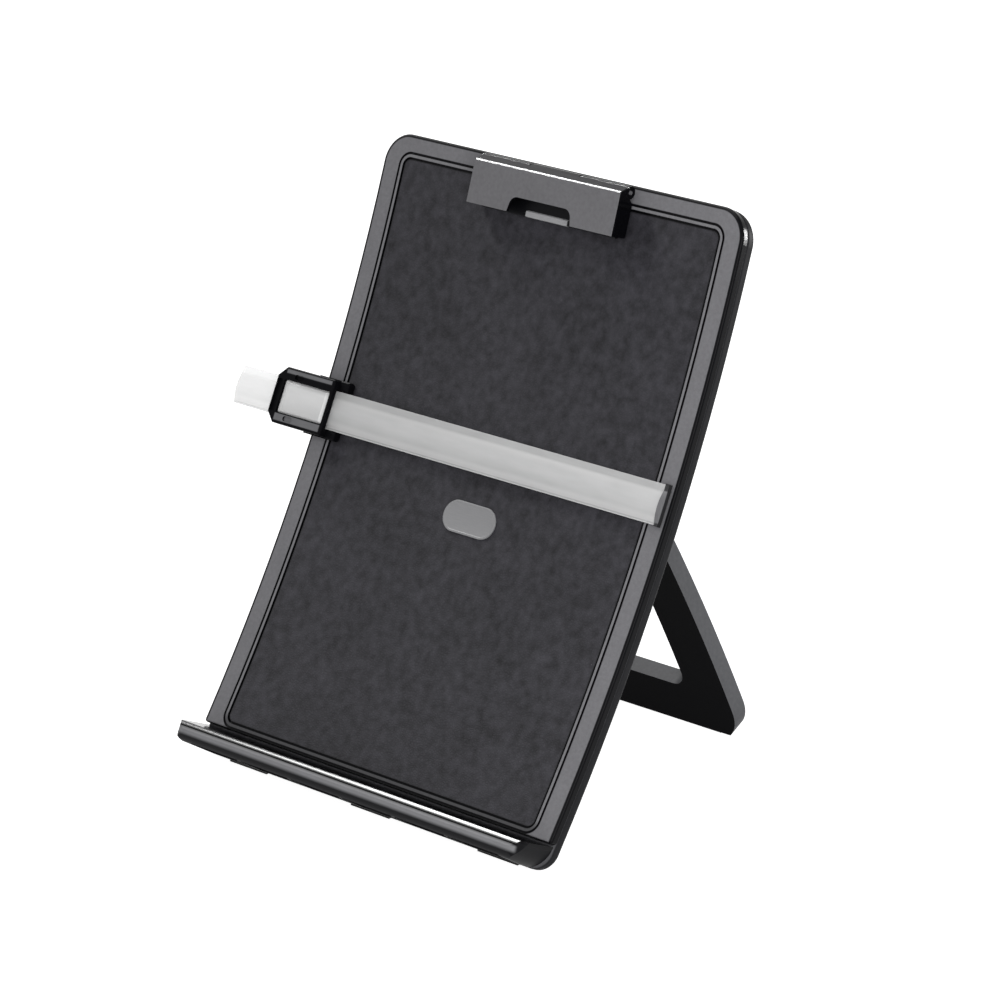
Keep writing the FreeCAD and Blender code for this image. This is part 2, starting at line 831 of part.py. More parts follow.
def guide_carriage():
    front = -carriage_rise
    frame = carriage_block()
    top = [edge for edge in frame.Edges if abs(edge.CenterOfMass.y - front) < fit]
    frame = frame.makeFillet(carriage_edge_round, top)
    channel = bar_half_height + side_gap
    frame = frame.cut(box((-far, far), (lens_front(), far), (-channel, channel)))
    window_right = carriage_right - carriage_right_wall
    sill = window_half_height + window_seat
    frame = frame.cut(
        box(
            (window_left - window_seat, window_right + window_seat),
            (lens_front() - window_flange - fit, far),
            (-sill, sill),
        )
    )
    opening = [
        (Vector(x, -far, side * window_half_height), window_corner_round)
        for x, side in ((window_left, -1), (window_right, -1), (window_right, 1), (window_left, 1))
    ]
    frame = frame.cut(prism(opening, Vector(0, 2 * far, 0)))
    frame = frame.cut(end_dip())
    for side in (-1, 1):
        frame = frame.cut(rail_dimple(side))
    return placed(frame, guide_place())


def end_dip():
    """Recess in the carriage's left end bar, rounder at its top."""
    middle = (carriage_left + window_left) / 2
    front = -carriage_rise - end_dip_depth
    outline = [
        (middle - end_dip_half, -window_half_height, end_dip_low_round),
        (middle + end_dip_half, -window_half_height, end_dip_low_round),
        (middle + end_dip_half, window_half_height, end_dip_round),
        (middle - end_dip_half, window_half_height, end_dip_round),
    ]
    corners = [(Vector(x, front, z), radius) for x, z, radius in outline]
    return prism(corners, Vector(0, 2 * end_dip_depth, 0))


def rail_dimple(side):
    """Oval dimple on a rail of the carriage, near the window's edge."""
    middle = carriage_left + dimple_place
    level = side * (window_half_height + dimple_set)
    front = -carriage_rise - dimple_depth
    corners = [
        (Vector(middle + sx * dimple_half_long, front, level + sz * dimple_half_tall), dimple_half_tall - fit)
        for sx, sz in ((-1, -1), (1, -1), (1, 1), (-1, 1))
    ]
    return prism(corners, Vector(0, 2 * dimple_depth, 0))


def carriage_window():
    """Pale insert: a flange under the frame's lips and a bevelled block that fills the window."""
    window_right = carriage_right - carriage_right_wall
    sill = window_half_height + window_seat - side_gap
    back = lens_front() - fit
    flange = box(
        (window_left - window_seat + side_gap, window_right + window_seat - side_gap),
        (back - window_flange + fit, back),
        (-sill, sill),
    )
    block_front = window_drop - carriage_rise
    corners = [
        (Vector(x, block_front, z), window_corner_round)
        for x, z in (
            (window_left + side_gap, side_gap - window_half_height),
            (window_right - side_gap, side_gap - window_half_height),
            (window_right - side_gap, window_half_height - side_gap),
            (window_left + side_gap, window_half_height - side_gap),
        )
    ]
    block = prism(corners, Vector(0, back - fit - block_front, 0))
    rim = [edge for edge in block.Edges if abs(edge.CenterOfMass.y - block_front) < fit]
    block = block.makeChamfer(window_edge, rim)
    slope = math.degrees(math.atan2(window_edge, window_bevel))
    for side, x in ((-1, window_left), (1, window_right)):
        waste = box((-far, far), (-far, 0), (-far, far))
        where = Placement(Vector(x, block_front + window_edge, 0), Rotation(Vector(0, 0, 1), side * slope))
        block = block.cut(placed(waste, where))
    return placed(block.fuse(flange).removeSplitter(), guide_place())


def clamp_side_x():
    """Outer and inner face of the clamp's side wall, past the board's left edge."""
    inner = -half_width - slide_gap
    return inner - clamp_side, inner


def carriage_clamp():
    outer, inner = clamp_side_x()
    front = clamp_front()
    back = board_depth + slide_gap
    high = carriage_top + clamp_proud
    deep = carriage_bottom + clamp_proud
    plate = [
        (Vector(clamp_plate_left, front, -bar_half_height), 0),
        (Vector(outer, front, -bar_half_height), 0),
        (Vector(outer, front, -deep), 0),
        (Vector(clamp_right, front, -deep), clamp_corner_round),
        (Vector(clamp_right, front, high), clamp_corner_round),
        (Vector(outer, front, high), 0),
        (Vector(outer, front, bar_half_height), 0),
        (Vector(clamp_plate_left, front, bar_half_height), 0),
    ]
    clamp = prism(plate, Vector(0, clamp_plate, 0))
    wall = box((outer, inner), (front + fit, back), (-jaw_half_height, jaw_half_height))
    clamp = clamp.fuse(wall)
    lug_inner = bar_half_height + 2 * side_gap
    for low, level in ((-deep, -lug_inner), (lug_inner, high)):
        lug = box((clamp_right - lug_width, clamp_right), (-lug_rise, front + fit), (low, level))
        rim = [edge for edge in lug.Edges if abs(edge.CenterOfMass.y + lug_rise) < fit]
        clamp = clamp.fuse(lug.makeFillet(lug_round, rim))
    frame_room = box(
        (carriage_left, carriage_right + side_gap),
        (-far, front),
        (-far, far),
    )
    clamp = clamp.cut(frame_room)
    for z in clamp_screw_heights():
        foot = Vector((outer + inner) / 2, back - clamp_screw_depth, z)
        clamp = clamp.cut(Part.makeCylinder(pilot_radius, clamp_screw_depth, foot, Vector(0, 1, 0)))
    return placed(clamp.removeSplitter(), guide_place())


def clamp_screw_heights():
    return [-jaw_half_height / 2, jaw_half_height / 2]


def carriage_back_jaw():
    outer, inner = clamp_side_x()
    front = board_depth + slide_gap
    back = front + jaw_plate
    corners = [
        (Vector(outer, front, -jaw_half_height), jaw_outer_round),
        (Vector(jaw_right, front, -jaw_half_height), jaw_corner_round),
        (Vector(jaw_right, front, jaw_half_height), jaw_corner_round),
        (Vector(outer, front, jaw_half_height), jaw_outer_round),
    ]
    jaw = prism(corners, Vector(0, jaw_plate, 0))
    rim = [edge for edge in jaw.Edges if abs(edge.CenterOfMass.y - back) < fit]
    jaw = jaw.makeFillet(jaw_rim_round, rim)
    for z in clamp_screw_heights():
        jaw = jaw.cut(Part.makeCylinder(screw_shank, far, Vector((outer + inner) / 2, 0, z), Vector(0, 1, 0)))
    return placed(jaw.cut(leaf_pocket()), guide_place())


def leaf_span():
    return leaf_inset - half_width, jaw_right - leaf_inset


def leaf_pocket():
    left, right = leaf_span()
    half = jaw_half_height / 2 + side_gap
    floor = board_depth + slide_gap + leaf_pocket_depth
    return box((left - side_gap, right + side_gap), (0, floor), (-half, half))


def carriage_friction_spring():
    """Bowed leaf that lies in the rear jaw and bears on the board's back."""
    left, right = leaf_span()
    floor = board_depth + slide_gap + leaf_pocket_depth
    crown = board_depth + slide_gap
    middle = (left + right) / 2

    def bow(offset):
        ends = [Vector(x, floor - offset, -jaw_half_height / 2) for x in (left, right)]
        top = Vector(middle, crown + leaf_thickness - offset, -jaw_half_height / 2)
        return Part.Arc(ends[0], top, ends[1]).toShape(), ends

    near, near_ends = bow(0)
    away, away_ends = bow(leaf_thickness)
    rims = [Part.makeLine(a, b) for a, b in zip(near_ends, away_ends)]
    section = Part.Wire(Part.__sortEdges__([near, rims[1], away, rims[0]]))
    leaf = Part.Face(section).extrude(Vector(0, 0, jaw_half_height))
    return placed(leaf, guide_place())


def carriage_screws():
    outer, inner = clamp_side_x()
    seat = board_depth + slide_gap + jaw_plate
    length = jaw_plate + clamp_screw_depth - 2 * small_head_height
    shank = Part.makeCylinder(pilot_radius - fit, length, Vector(0, -length, 0), Vector(0, 1, 0))
    head = Part.makeCylinder(small_head, small_head_height, Vector(0, 0, 0), Vector(0, 1, 0))
    body = head.fuse(shank).removeSplitter()
    spots = [Vector((outer + inner) / 2, seat, z) for z in clamp_screw_heights()]
    return [placed(placed(body, Placement(spot, Rotation())), guide_place()) for spot in spots]


def leg_axis_depth():
    return board_depth + leg_fold_gap + leg_thickness / 2


def leg_hinge():
    """The hinge's frame on the board, with the leg folded flat."""
    return on_board(leg_hinge_height, leg_axis_depth())


def leg_open():
    """The hinge's frame with the leg swung out to its stop."""
    return leg_hinge().multiply(Placement(Vector(), Rotation(along_x, leg_open_angle)))


def leg_landing(depth):
    """Where one face of the open leg, or its middle, comes down to the foot pads' level."""
    where = standing.multiply(leg_open())
    centre = where.multVec(Vector(0, -face_radius - leg_axis_depth(), 0))
    radius = face_radius + leg_axis_depth() + depth
    fall = centre.z - pad_rise
    return Vector(0, centre.y + math.sqrt(radius ** 2 - fall ** 2), pad_rise)


def leg_length():
    """Drop from the hinge to the foot of the leg's back face, along the leg's own tangent."""
    where = standing.multiply(leg_open())
    return -where.inverse().multVec(leg_landing(leg_thickness / 2)).z


def leg_half(drop):
    """Half the leg's width at a distance below its hinge."""
    share = (drop - leg_shoulder) / (leg_length() - leg_shoulder)
    return leg_top_half + (leg_foot_half - leg_top_half) * share


def support_leg():
    axis_radius = face_radius + leg_axis_depth()
    half_thick = leg_thickness / 2
    slab = arc_band(-half_thick, half_thick, board_width / 2, axis_radius, -axis_radius, 0)
    outline = [
        (Vector(-leg_foot_half, -far / 4, -leg_length()), leg_foot_radius),
        (Vector(leg_foot_half, -far / 4, -leg_length()), leg_foot_radius),
        (Vector(leg_top_half, -far / 4, -leg_shoulder), leg_shoulder_round),
        (Vector(leg_top_half, -far / 4, leg_heel), 0),
        (Vector(-leg_top_half, -far / 4, leg_heel), 0),
        (Vector(-leg_top_half, -far / 4, -leg_shoulder), leg_shoulder_round),
    ]
    leg = slab.common(prism(outline, Vector(0, far / 2, 0)))
    leg = leg.cut(leg_window(0))
    leg = shape_heel(leg)
    hollow_front = half_thick - leg_hollow_depth
    hollow_slab = arc_band(hollow_front, far / 8, board_width, axis_radius, -axis_radius, 0)
    leg = leg.cut(leg_hollow(hollow_slab))
    leg = leg.cut(rod(leg_pin_radius + fit, -board_width, board_width))
    leg = placed(leg, standing.multiply(leg_open()))
    leg = leg.cut(box((-board_width, board_width), (-far, far), (-far, pad_rise)))
    return leg.cut(leg_foot_strip())


def leg_window(grow):
    """The opening between the leg's struts, larger by a margin all round."""
    low = leg_length() - leg_crossbar + grow
    high = leg_head - grow
    low_half = leg_half(low) - leg_strut + grow
    high_half = leg_half(high) - leg_strut + grow
    corners = [
        (Vector(-low_half, -far / 4, -low), leg_window_radius + grow),
        (Vector(low_half, -far / 4, -low), leg_window_radius + grow),
        (Vector(high_half, -far / 4, -high), leg_window_radius / 2 + grow),
        (Vector(-high_half, -far / 4, -high), leg_window_radius / 2 + grow),
    ]
    return prism(corners, Vector(0, far / 2, 0))


def leg_hollow(depth):
    """Cells moulded into the leg's back between its walls and cross ribs, within a slab."""
    high = leg_hollow_top
    low = leg_length() - leg_foot_solid
    corners = [
        (Vector(leg_wall - leg_half(low), -far / 4, -low), leg_window_radius),
        (Vector(leg_half(low) - leg_wall, -far / 4, -low), leg_window_radius),
        (Vector(leg_half(high) - leg_wall, -far / 4, -high), leg_rib),
        (Vector(leg_wall - leg_half(high), -far / 4, -high), leg_rib),
    ]
    cells = prism(corners, Vector(0, far / 2, 0)).common(depth).cut(leg_window(leg_wall))
    for index in range(leg_ribs):
        level = high + (low - high) * (index + 1) / (leg_ribs + 1)
        cells = cells.cut(box((-far, far), (-far, far), (-level - leg_rib / 2, -level + leg_rib / 2)))
    return cells


def shape_heel(leg):
    """Cut the flat that comes to rest on the shell when the leg is open, and round its edges."""
    to_shell = leg_thickness / 2 + leg_fold_gap - leg_heel_stop
    half_thick = leg_thickness / 2
    waste = box((-board_width, board_width), (-far, -to_shell), (-far, far))
    leg = leg.cut(placed(waste, Placement(Vector(), Rotation(along_x, -leg_open_angle))))
    leg = leg.makeFillet(leg_heel_round, heel_edges(leg, -half_thick, 0))
    slope = math.degrees(math.atan2(half_thick, leg_heel))
    behind = box((-board_width, board_width), (half_thick, far), (-1, far))
    leg = leg.cut(placed(behind, Placement(Vector(0, 0, half_thick / 2), Rotation(along_x, slope))))
    return leg


def heel_edges(leg, depth, lowest):
    """Edges across the leg's whole top that lie at a depth and above a level."""
    found = []
    for edge in leg.Edges:
        middle = edge.CenterOfMass
        across = abs(middle.x) < fit and edge.Length > leg_top_half
        if across and abs(middle.y - depth) < slide_gap and middle.z > lowest:
            found.append(edge)
    return found


def leg_foot_strip():
    """Rubber strip let into the leg's foot, drawn as it stands."""
    length, width = leg_pad
    front = leg_landing(-leg_thickness / 2).y + leg_pad_inset
    return box((-length / 2, length / 2), (front, front + width), (0, pad_rise + pad_sunk))


def ear_inner_x():
    return leg_top_half + leg_washer + 2 * fit


def bracket_screw_places():
    x = ear_inner_x() + bracket_ear + (bracket_length - bracket_ear) / 2
    z = bracket_half_height - bracket_screw_inset
    return [(side * x, level) for side in (-1, 1) for level in (-z, z)]


def bracket_screw_length():
    return shell_depth - pocket_depth / 2


def bracket(side):
    """Hinge ear on a screwed flange, drawn in the hinge's frame."""
    seat = board_depth - leg_axis_depth()
    inner = ear_inner_x()
    ear = rod(bracket_ear_radius, inner, inner + bracket_ear)
    web = [
        (Vector(inner, seat, -bracket_half_height), 0),
        (Vector(inner, seat, bracket_half_height), 0),
        (Vector(inner, 0, bracket_ear_radius), 0),
        (Vector(inner, 0, -bracket_ear_radius), 0),
    ]
    ear = ear.fuse(prism(web, Vector(bracket_ear, 0, 0)))
    flange = [
        (Vector(inner, seat, -bracket_half_height), 0),
        (Vector(inner + bracket_length, seat, -bracket_half_height), bracket_corner_round),
        (Vector(inner + bracket_length, seat, bracket_half_height), bracket_corner_round),
        (Vector(inner, seat, bracket_half_height), 0),
    ]
    body = ear.fuse(prism(flange, Vector(0, bracket_flange, 0)))
    body = body.cut(rod(leg_pin_radius + fit, 0, board_width))
    for x, z in bracket_screw_places():
        if x > 0:
            foot = Vector(x, -far / 2, z)
            body = body.cut(Part.makeCylinder(screw_shank + fit, far, foot, Vector(0, 1, 0)))
    body = body.removeSplitter()
    if side < 0:
        body = body.mirror(Vector(), along_x)
    return placed(body, leg_hinge())


def bracket_screws():
    seat = board_depth - leg_axis_depth() + bracket_flange
    body = placed(
        screw(bracket_flange + bracket_screw_length()),
        Placement(Vector(), Rotation(Vector(0, 0, 1), 180)),
    )
    return [
        placed(placed(body, Placement(Vector(x, seat, z), Rotation())), leg_hinge())
        for x, z in bracket_screw_places()
    ]


def leg_hinge_pin():
    reach = ear_inner_x() + bracket_ear
    pin = rod(leg_pin_radius, -reach - leg_pin_proud, reach + leg_pin_proud)
    pin = pin.makeChamfer(pin_chamfer, round_ends(pin))
    head = rod(leg_pin_radius + leg_pin_head, reach + fit, reach + leg_pin_head)
    return placed(pin.fuse(head).removeSplitter(), leg_hinge())


def leg_hinge_washers():
    washers = []
    for side in (-1, 1):
        left, right = sorted((side * (leg_top_half + fit), side * (leg_top_half + fit + leg_washer)))
        ring = rod(leg_pin_radius + leg_washer_width, left, right)
        ring = ring.cut(rod(leg_pin_radius + fit, left, right))
        washers.append(placed(ring, leg_hinge()))
    return washers


def save(name, shape):
    if isinstance(shape, list):
        shape = Part.makeCompound(shape)
    shape.exportStep("parts/" + name + ".step")
    print(name, len(shape.Solids), "valid" if shape.isValid() else "NOT VALID")


def leaned(shape):
    if isinstance(shape, list):
        return [placed(one, standing) for one in shape]
    return placed(shape, standing)


def main():
    os.makedirs("parts", exist_ok=True)
    save("front_frame", leaned(front_frame()))
    save("texture_panel", leaned(texture_panel()))
    save("badge_plate", leaned(badge_plate()))
    save("back_shell", back_shell())
    save("shell_screws", leaned(shell_screws()))
    save("front_foot_pads", board_pads())
    save("paper_ledge", leaned(paper_ledge()))
    save("clip_cover", leaned(clip_cover()))
    save("clip_jaw", leaned(clip_jaw()))
    save("clip_grip_pad", leaned(clip_grip_pad()))
    save("clip_hinge_pin", leaned(clip_hinge_pin()))
    save("clip_spring", leaned(clip_spring()))
    save("guide_bar", leaned(guide_bar()))
    save("bar_end_cap", leaned(bar_end_cap()))
    save("guide_carriage", leaned(guide_carriage()))
    save("carriage_window", leaned(carriage_window()))
    save("carriage_clamp", leaned(carriage_clamp()))
    save("carriage_back_jaw", leaned(carriage_back_jaw()))
    save("carriage_friction_spring", leaned(carriage_friction_spring()))
    save("carriage_screws", leaned(carriage_screws()))
    save("support_leg", support_leg())
    save("leg_foot_strip", leg_foot_strip())
    save("leg_hinge_pin", leaned(leg_hinge_pin()))
    save("leg_hinge_washers", leaned(leg_hinge_washers()))
    save("leg_bracket_left", leaned(bracket(-1)))
    save("leg_bracket_right", leaned(bracket(1)))
    save("bracket_screws", leaned(bracket_screws()))


main()
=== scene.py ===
import json
import math

import bmesh
import bpy
from bpy.props import FloatProperty, FloatVectorProperty, PointerProperty
from mathutils import Matrix, Quaternion, Vector


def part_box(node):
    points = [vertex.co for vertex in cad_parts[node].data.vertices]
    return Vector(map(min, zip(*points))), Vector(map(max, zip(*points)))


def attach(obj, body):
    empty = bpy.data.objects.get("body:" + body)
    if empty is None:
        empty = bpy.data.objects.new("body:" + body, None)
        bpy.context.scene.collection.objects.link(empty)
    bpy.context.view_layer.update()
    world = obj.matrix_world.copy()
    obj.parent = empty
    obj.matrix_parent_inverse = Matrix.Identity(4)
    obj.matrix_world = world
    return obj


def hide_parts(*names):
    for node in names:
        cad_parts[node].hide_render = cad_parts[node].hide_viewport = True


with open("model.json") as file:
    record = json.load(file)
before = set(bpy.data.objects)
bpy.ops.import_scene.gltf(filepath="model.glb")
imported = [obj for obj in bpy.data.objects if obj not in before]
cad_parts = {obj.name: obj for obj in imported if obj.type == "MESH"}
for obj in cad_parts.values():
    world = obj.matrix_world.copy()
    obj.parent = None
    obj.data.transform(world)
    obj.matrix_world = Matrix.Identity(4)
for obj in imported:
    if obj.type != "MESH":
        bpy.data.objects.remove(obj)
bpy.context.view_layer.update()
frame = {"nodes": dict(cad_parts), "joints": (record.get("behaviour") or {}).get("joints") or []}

bl_info = {
    "name": "Copy Holder",
    "version": (1, 0, 0),
    "blender": (4, 5, 0),
    "location": "View3D > Sidebar > Copy Holder",
    "description": "Finishes, small pieces and stage of a desk copy holder with a line guide",
    "category": "Object",
}

MM = 0.001


def joint_place(name):
    """Where the frame puts a joint."""
    return Vector(next(joint["pos_m"] for joint in frame["joints"] if joint["name"] == name))


# The board's face is an arc about the joint on which the line guide travels
ARC_CENTRE = joint_place("carriage_travel")
FACE_RADIUS = 1.050
LEAN = math.radians(26.0)
HALF_CHORD = 0.1555
HALF_ARC = math.asin(HALF_CHORD / FACE_RADIUS)
BOARD_HALF_WIDTH = 118.0 * MM
BOARD_RADIUS = 15.5 * MM
SHELL_BACK = 10.8 * MM
RUNNING_GAP = 0.3 * MM

# Ways that the board's face, the satin part of its edge and the leg's faces look
FACE_WAY = Vector((0.0, -math.cos(LEAN), math.sin(LEAN)))
EDGE_WAY = Vector((0.0, -0.49, 0.872))
LEG_TILT = math.radians(26.9)
LEG_WAY = Vector((0.0, -math.cos(LEG_TILT), -math.sin(LEG_TILT)))

# Heights above the board's foot
BADGE_HEIGHT = 0.1349
GUIDE_HEIGHT = 0.1676
CLIP_HINGE_HEIGHT = 2 * HALF_CHORD - 2.7 * MM

# Outline of the raised line round the sheet
LINE_LOW = 1.6 * MM
LINE_HALF_WIDTH = 105.3 * MM
LINE_HALF_HEIGHT = 149.4 * MM
LINE_RADIUS = 5.5 * MM

# Where the frame's painted highlight and painted shade change: off the line, off its grooves, at the rim, and
# in depth at the face
LINE_EDGE = (0.50 * MM, 0.85 * MM)
GROOVE_EDGE = (1.75 * MM, 2.20 * MM)
RIM_EDGE = (-2.1 * MM, -1.5 * MM)
FACE_START = (-0.60 * MM, -0.15 * MM)
FACE_END = (0.15 * MM, 0.60 * MM)

# Head radius, head height and shank radius of the two kinds of screw
LARGE_SCREW = (2.6 * MM, 1.5 * MM, 1.2 * MM)
SMALL_SCREW = (1.5 * MM, 1.0 * MM, 0.9 * MM)


def on_board(x, height, depth):
    """Frame on the board's arc: X to the right, Y into the board, Z up along the face."""
    angle = height / FACE_RADIUS - HALF_ARC - LEAN
    inward = Vector((0.0, math.cos(angle), math.sin(angle)))
    upward = Vector((0.0, -math.sin(angle), math.cos(angle)))
    spot = ARC_CENTRE + inward * (FACE_RADIUS + depth) + Vector((x, 0.0, 0.0))
    turn = Matrix((Vector((1.0, 0.0, 0.0)), inward, upward)).transposed()
    return Matrix.Translation(spot) @ turn.to_4x4()


def tone(name, value, text):
    return FloatVectorProperty(name=name, description=text, subtype="COLOR", default=value, min=0, max=1)


def span(name, value, text):
    return FloatProperty(name=name, description=text, unit="LENGTH", default=value, precision=5, min=0)


def amount(name, value, text):
    return FloatProperty(name=name, description=text, default=value, min=0)


class HolderColours(bpy.types.PropertyGroup):
    """Colours of the moulded and metal pieces."""

    frame_band: tone("Frame band", (0.195, 0.193, 0.204), "Satin grey of the frame's front")
    # Painted highlight: the raised line is a little paler than the band
    frame_line_highlight: tone("Raised line", (0.215, 0.213, 0.224), "Raised line round the sheet")
    # Painted shade: black laid on the frame's sides, rim and grooves, on the clip's sides and roof, and on
    # the jaw's plate in the notch
    painted_side_shade: tone("Frame side", (0.003, 0.003, 0.004), "Black of the frame's sides and grooves")
    sheet: tone("Grained sheet", (0.0330, 0.0320, 0.0378), "Dark sheet inside the raised line")
    badge: tone("Badge", (0.27, 0.27, 0.278), "Bare oval badge")
    shell: tone("Shell", (0.105, 0.105, 0.111), "Front of the skirt below the frame")
    # Painted shade: the shell's sides and back are darker than its front
    shell_side_shade: tone("Shell side", (0.022, 0.022, 0.024), "Sides and back of the shell, and leg brackets")
    clip: tone("Clip", (0.168, 0.166, 0.175), "Cover of the paper clip")
    jaw: tone("Jaw", (0.36, 0.36, 0.37), "Pale lip of the jaw inside the clip")
    ledge: tone("Ledge", (0.004, 0.004, 0.005), "Top and underside of the paper ledge")
    ledge_nose_sheen: tone("Ledge nose", (0.23, 0.23, 0.24), "Front of the paper ledge's lip")
    slider: tone("Slider", (0.004, 0.004, 0.005), "Black of the line guide's carriage and clamp")
    # Painted sheen on the carriage's front flats, and the grey of the bar's cap over the lens
    slider_front: tone("Slider front", (0.18, 0.18, 0.188), "Flats of the carriage, and the bar's cap")
    bar: tone("Guide bar", (0.975, 0.978, 0.98), "Milky bar of the line guide")
    bar_bevel_highlight: tone("Guide bar edge", (0.99, 0.99, 0.99), "Bevels of the milky pieces")
    leg: tone("Leg", (0.0022, 0.0022, 0.0028), "Faces of the folding leg")
    # Painted light and shade: the leg's faces are black as shaded and its edges paler as lit
    leg_edge_lit: tone("Leg edge", (0.15, 0.152, 0.16), "Edges of the folding leg")
    rubber: tone("Rubber", (0.010, 0.010, 0.010), "Foot pads and grip pad")
    steel: tone("Steel", (0.55, 0.55, 0.56), "Pins, springs and screws")
    nylon: tone("Nylon", (0.72, 0.71, 0.67), "Hinge washers")


class HolderSizes(bpy.types.PropertyGroup):
    """Sizes of the finishes and of the small pieces."""

    sheet_grain: span("Sheet grain", 1.5 * MM, "Width of one cell of the sheet's leather grain")
    sheet_relief: span("Sheet relief", 0.09 * MM, "Depth of the sheet's leather grain")
    moulded_grain: span("Moulded grain", 0.35 * MM, "Width of the fine grain on moulded pieces")
    moulded_relief: span("Moulded relief", 0.012 * MM, "Depth of the fine grain on moulded pieces")
    badge_length: span("Badge length", 34.0 * MM, "Length of the oval badge")
    badge_height: span("Badge height", 16.0 * MM, "Height of the oval badge")
    badge_rim: span("Badge rim", 0.9 * MM, "Width of the badge's raised rim")
    bar_round: span("Bar edge", 0.35 * MM, "Radius of the guide bar's long edges")


class HolderStage(bpy.types.PropertyGroup):
    """Light levels and floor."""

    room: amount("Room", 0.58, "Strength of the even light all round")
    floor: amount("Floor", 0.80, "Brightness of the floor's own colour")
    floor_glow: amount("Floor glow", 0.92, "What the floor gains where the camera sees it")
    strip: amount("Strip light", 105.0, "Brightness of the strip overhead, which adds gloss alone")
    side: amount("Side light", 3.4, "Brightness of the broad light at the right")
    corner: amount("Corner light", 150.0, "Brightness of the small light behind, which adds gloss alone")


class HolderSettings(bpy.types.PropertyGroup):
    """Everything that a user would set on the copy holder."""

    colours: PointerProperty(type=HolderColours)
    sizes: PointerProperty(type=HolderSizes)
    stage: PointerProperty(type=HolderStage)


def settings():
    return bpy.context.scene.copy_holder


class Wire:
    """A shader socket that takes part in sums."""

    def __init__(self, finish, socket):
        self.finish = finish
        self.socket = socket

    def maths(self, operation, first, second):
        return self.finish.node("ShaderNodeMath", {"operation": operation}, {0: first, 1: second})

    def __add__(self, other):
        return self.maths("ADD", self, other)

    def __radd__(self, other):
        return self.maths("ADD", other, self)

    def __sub__(self, other):
        return self.maths("SUBTRACT", self, other)

    def __rsub__(self, other):
        return self.maths("SUBTRACT", other, self)

    def __mul__(self, other):
        return self.maths("MULTIPLY", self, other)

    def __rmul__(self, other):
        return self.maths("MULTIPLY", other, self)


class Finish:
    """A material, or the world, and the nodes that make it."""

    def __init__(self, owner):
        owner.use_nodes = True
        self.owner = owner
        self.tree = owner.node_tree
        self.tree.nodes.clear()
        self.tones = settings().colours
        self.sizes = settings().sizes

    def node(self, kind, setting=None, sockets=None, output=0):
        """Add a node, set it, feed its sockets with values or wires, and return one output."""
        made = self.tree.nodes.new(kind)
        for name, value in (setting or {}).items():
            setattr(made, name, value)
        for key, value in (sockets or {}).items():
            if isinstance(value, Wire):
                self.tree.links.new(value.socket, made.inputs[key])
            else:
                made.inputs[key].default_value = value
        return Wire(self, made.outputs[output]) if made.outputs else None

    def place(self):
        """Place of a point on the piece at rest."""
        return self.node("ShaderNodeTexCoord", output="Object")

    def drawn(self, share):
        """Place squeezed along X, so that a pattern on it draws out into lines."""
        return self.vector("MULTIPLY", self.place(), (share, 1.0, 1.0))

    def vector(self, operation, first, second):
        """Vector that an operation makes of two vectors."""
        return self.node("ShaderNodeVectorMath", {"operation": operation}, {0: first, 1: second})

    def length(self, vector):
        """Length of a vector."""
        return self.node("ShaderNodeVectorMath", {"operation": "LENGTH"}, {0: vector}, output="Value")

    def along(self, vector, way):
        """How far a vector reaches along a way."""
        sockets = {0: vector, 1: tuple(way)}
        return self.node("ShaderNodeVectorMath", {"operation": "DOT_PRODUCT"}, sockets, output="Value")

    def size_of(self, value):
        """A value without its sign."""
        return self.node("ShaderNodeMath", {"operation": "ABSOLUTE"}, {0: value})

    def noise(self, size, detail, place=None):
        """Cloudy pattern from 0 to 1 whose features are about as wide as the size."""
        sockets = {"Vector": place or self.place(), "Scale": 1.0 / size, "Detail": detail}
        return self.node("ShaderNodeTexNoise", {"noise_dimensions": "3D"}, sockets)

    def cells(self, size):
        """Pattern of rounded cells, low along the creases between them."""
        sockets = {"Vector": self.place(), "Scale": 1.0 / size, "Randomness": 1.0}
        return self.node("ShaderNodeTexVoronoi", {"feature": "DISTANCE_TO_EDGE"}, sockets)

    def ramp(self, value, low, high):
        """Smooth step from 0 at the low value to 1 at the high one."""
        sockets = {"Value": value, "From Min": low, "From Max": high}
        return self.node("ShaderNodeMapRange", {"interpolation_type": "SMOOTHSTEP"}, sockets)

    def fade(self, value, low, high):
        """Smooth step from 1 at the low value to 0 at the high one."""
        return 1.0 - self.ramp(value, low, high)

    def band(self, value, rise, fall):
        """1 between two smooth steps, each given by its start and end, and 0 outside them."""
        return self.ramp(value, *rise) - self.ramp(value, *fall)

    def facing(self, way, low, high):
        """Mask that is 1 where the surface faces a way."""
        normal = self.node("ShaderNodeTexCoord", output="Normal")
        return self.ramp(self.along(normal, way), low, high)

    def blend(self, share, first, second):
        """Colour between two colours or colour wires."""
        sockets = {0: share, 6: opaque(first), 7: opaque(second)}
        return self.node("ShaderNodeMix", {"data_type": "RGBA"}, sockets, output=2)

    def tint(self, colour, level):
        """A colour made lighter or darker by a value that lies about 1."""
        sockets = {0: colour if isinstance(colour, Wire) else tuple(colour), "Scale": level}
        return self.node("ShaderNodeVectorMath", {"operation": "SCALE"}, sockets)

    def relief(self, height, depth):
        """Bumped normal from a height pattern of a real depth."""
        return self.node("ShaderNodeBump", None, {"Height": height, "Distance": depth, "Strength": 1.0})

    def surface(self, **sockets):
        """Close the material with a Principled shader."""
        named = {name.replace("_", " "): value for name, value in sockets.items()}
        shader = self.node("ShaderNodeBsdfPrincipled", None, named)
        self.node("ShaderNodeOutputMaterial", None, {"Surface": shader})
        return self.owner


def opaque(colour):
    """A colour wire as it is, and a colour with its alpha."""
    return colour if isinstance(colour, Wire) else (*colour, 1.0)


def new_finish(name):
    return Finish(bpy.data.materials.new(name))


def grain_layers(finish):
    """Fine grain, satin mottle and broad flow marks of moulded plastic."""
    grain = finish.sizes.moulded_grain
    return finish.noise(grain, 3.0), finish.noise(5 * grain, 3.0), finish.noise(60 * grain, 2.0)


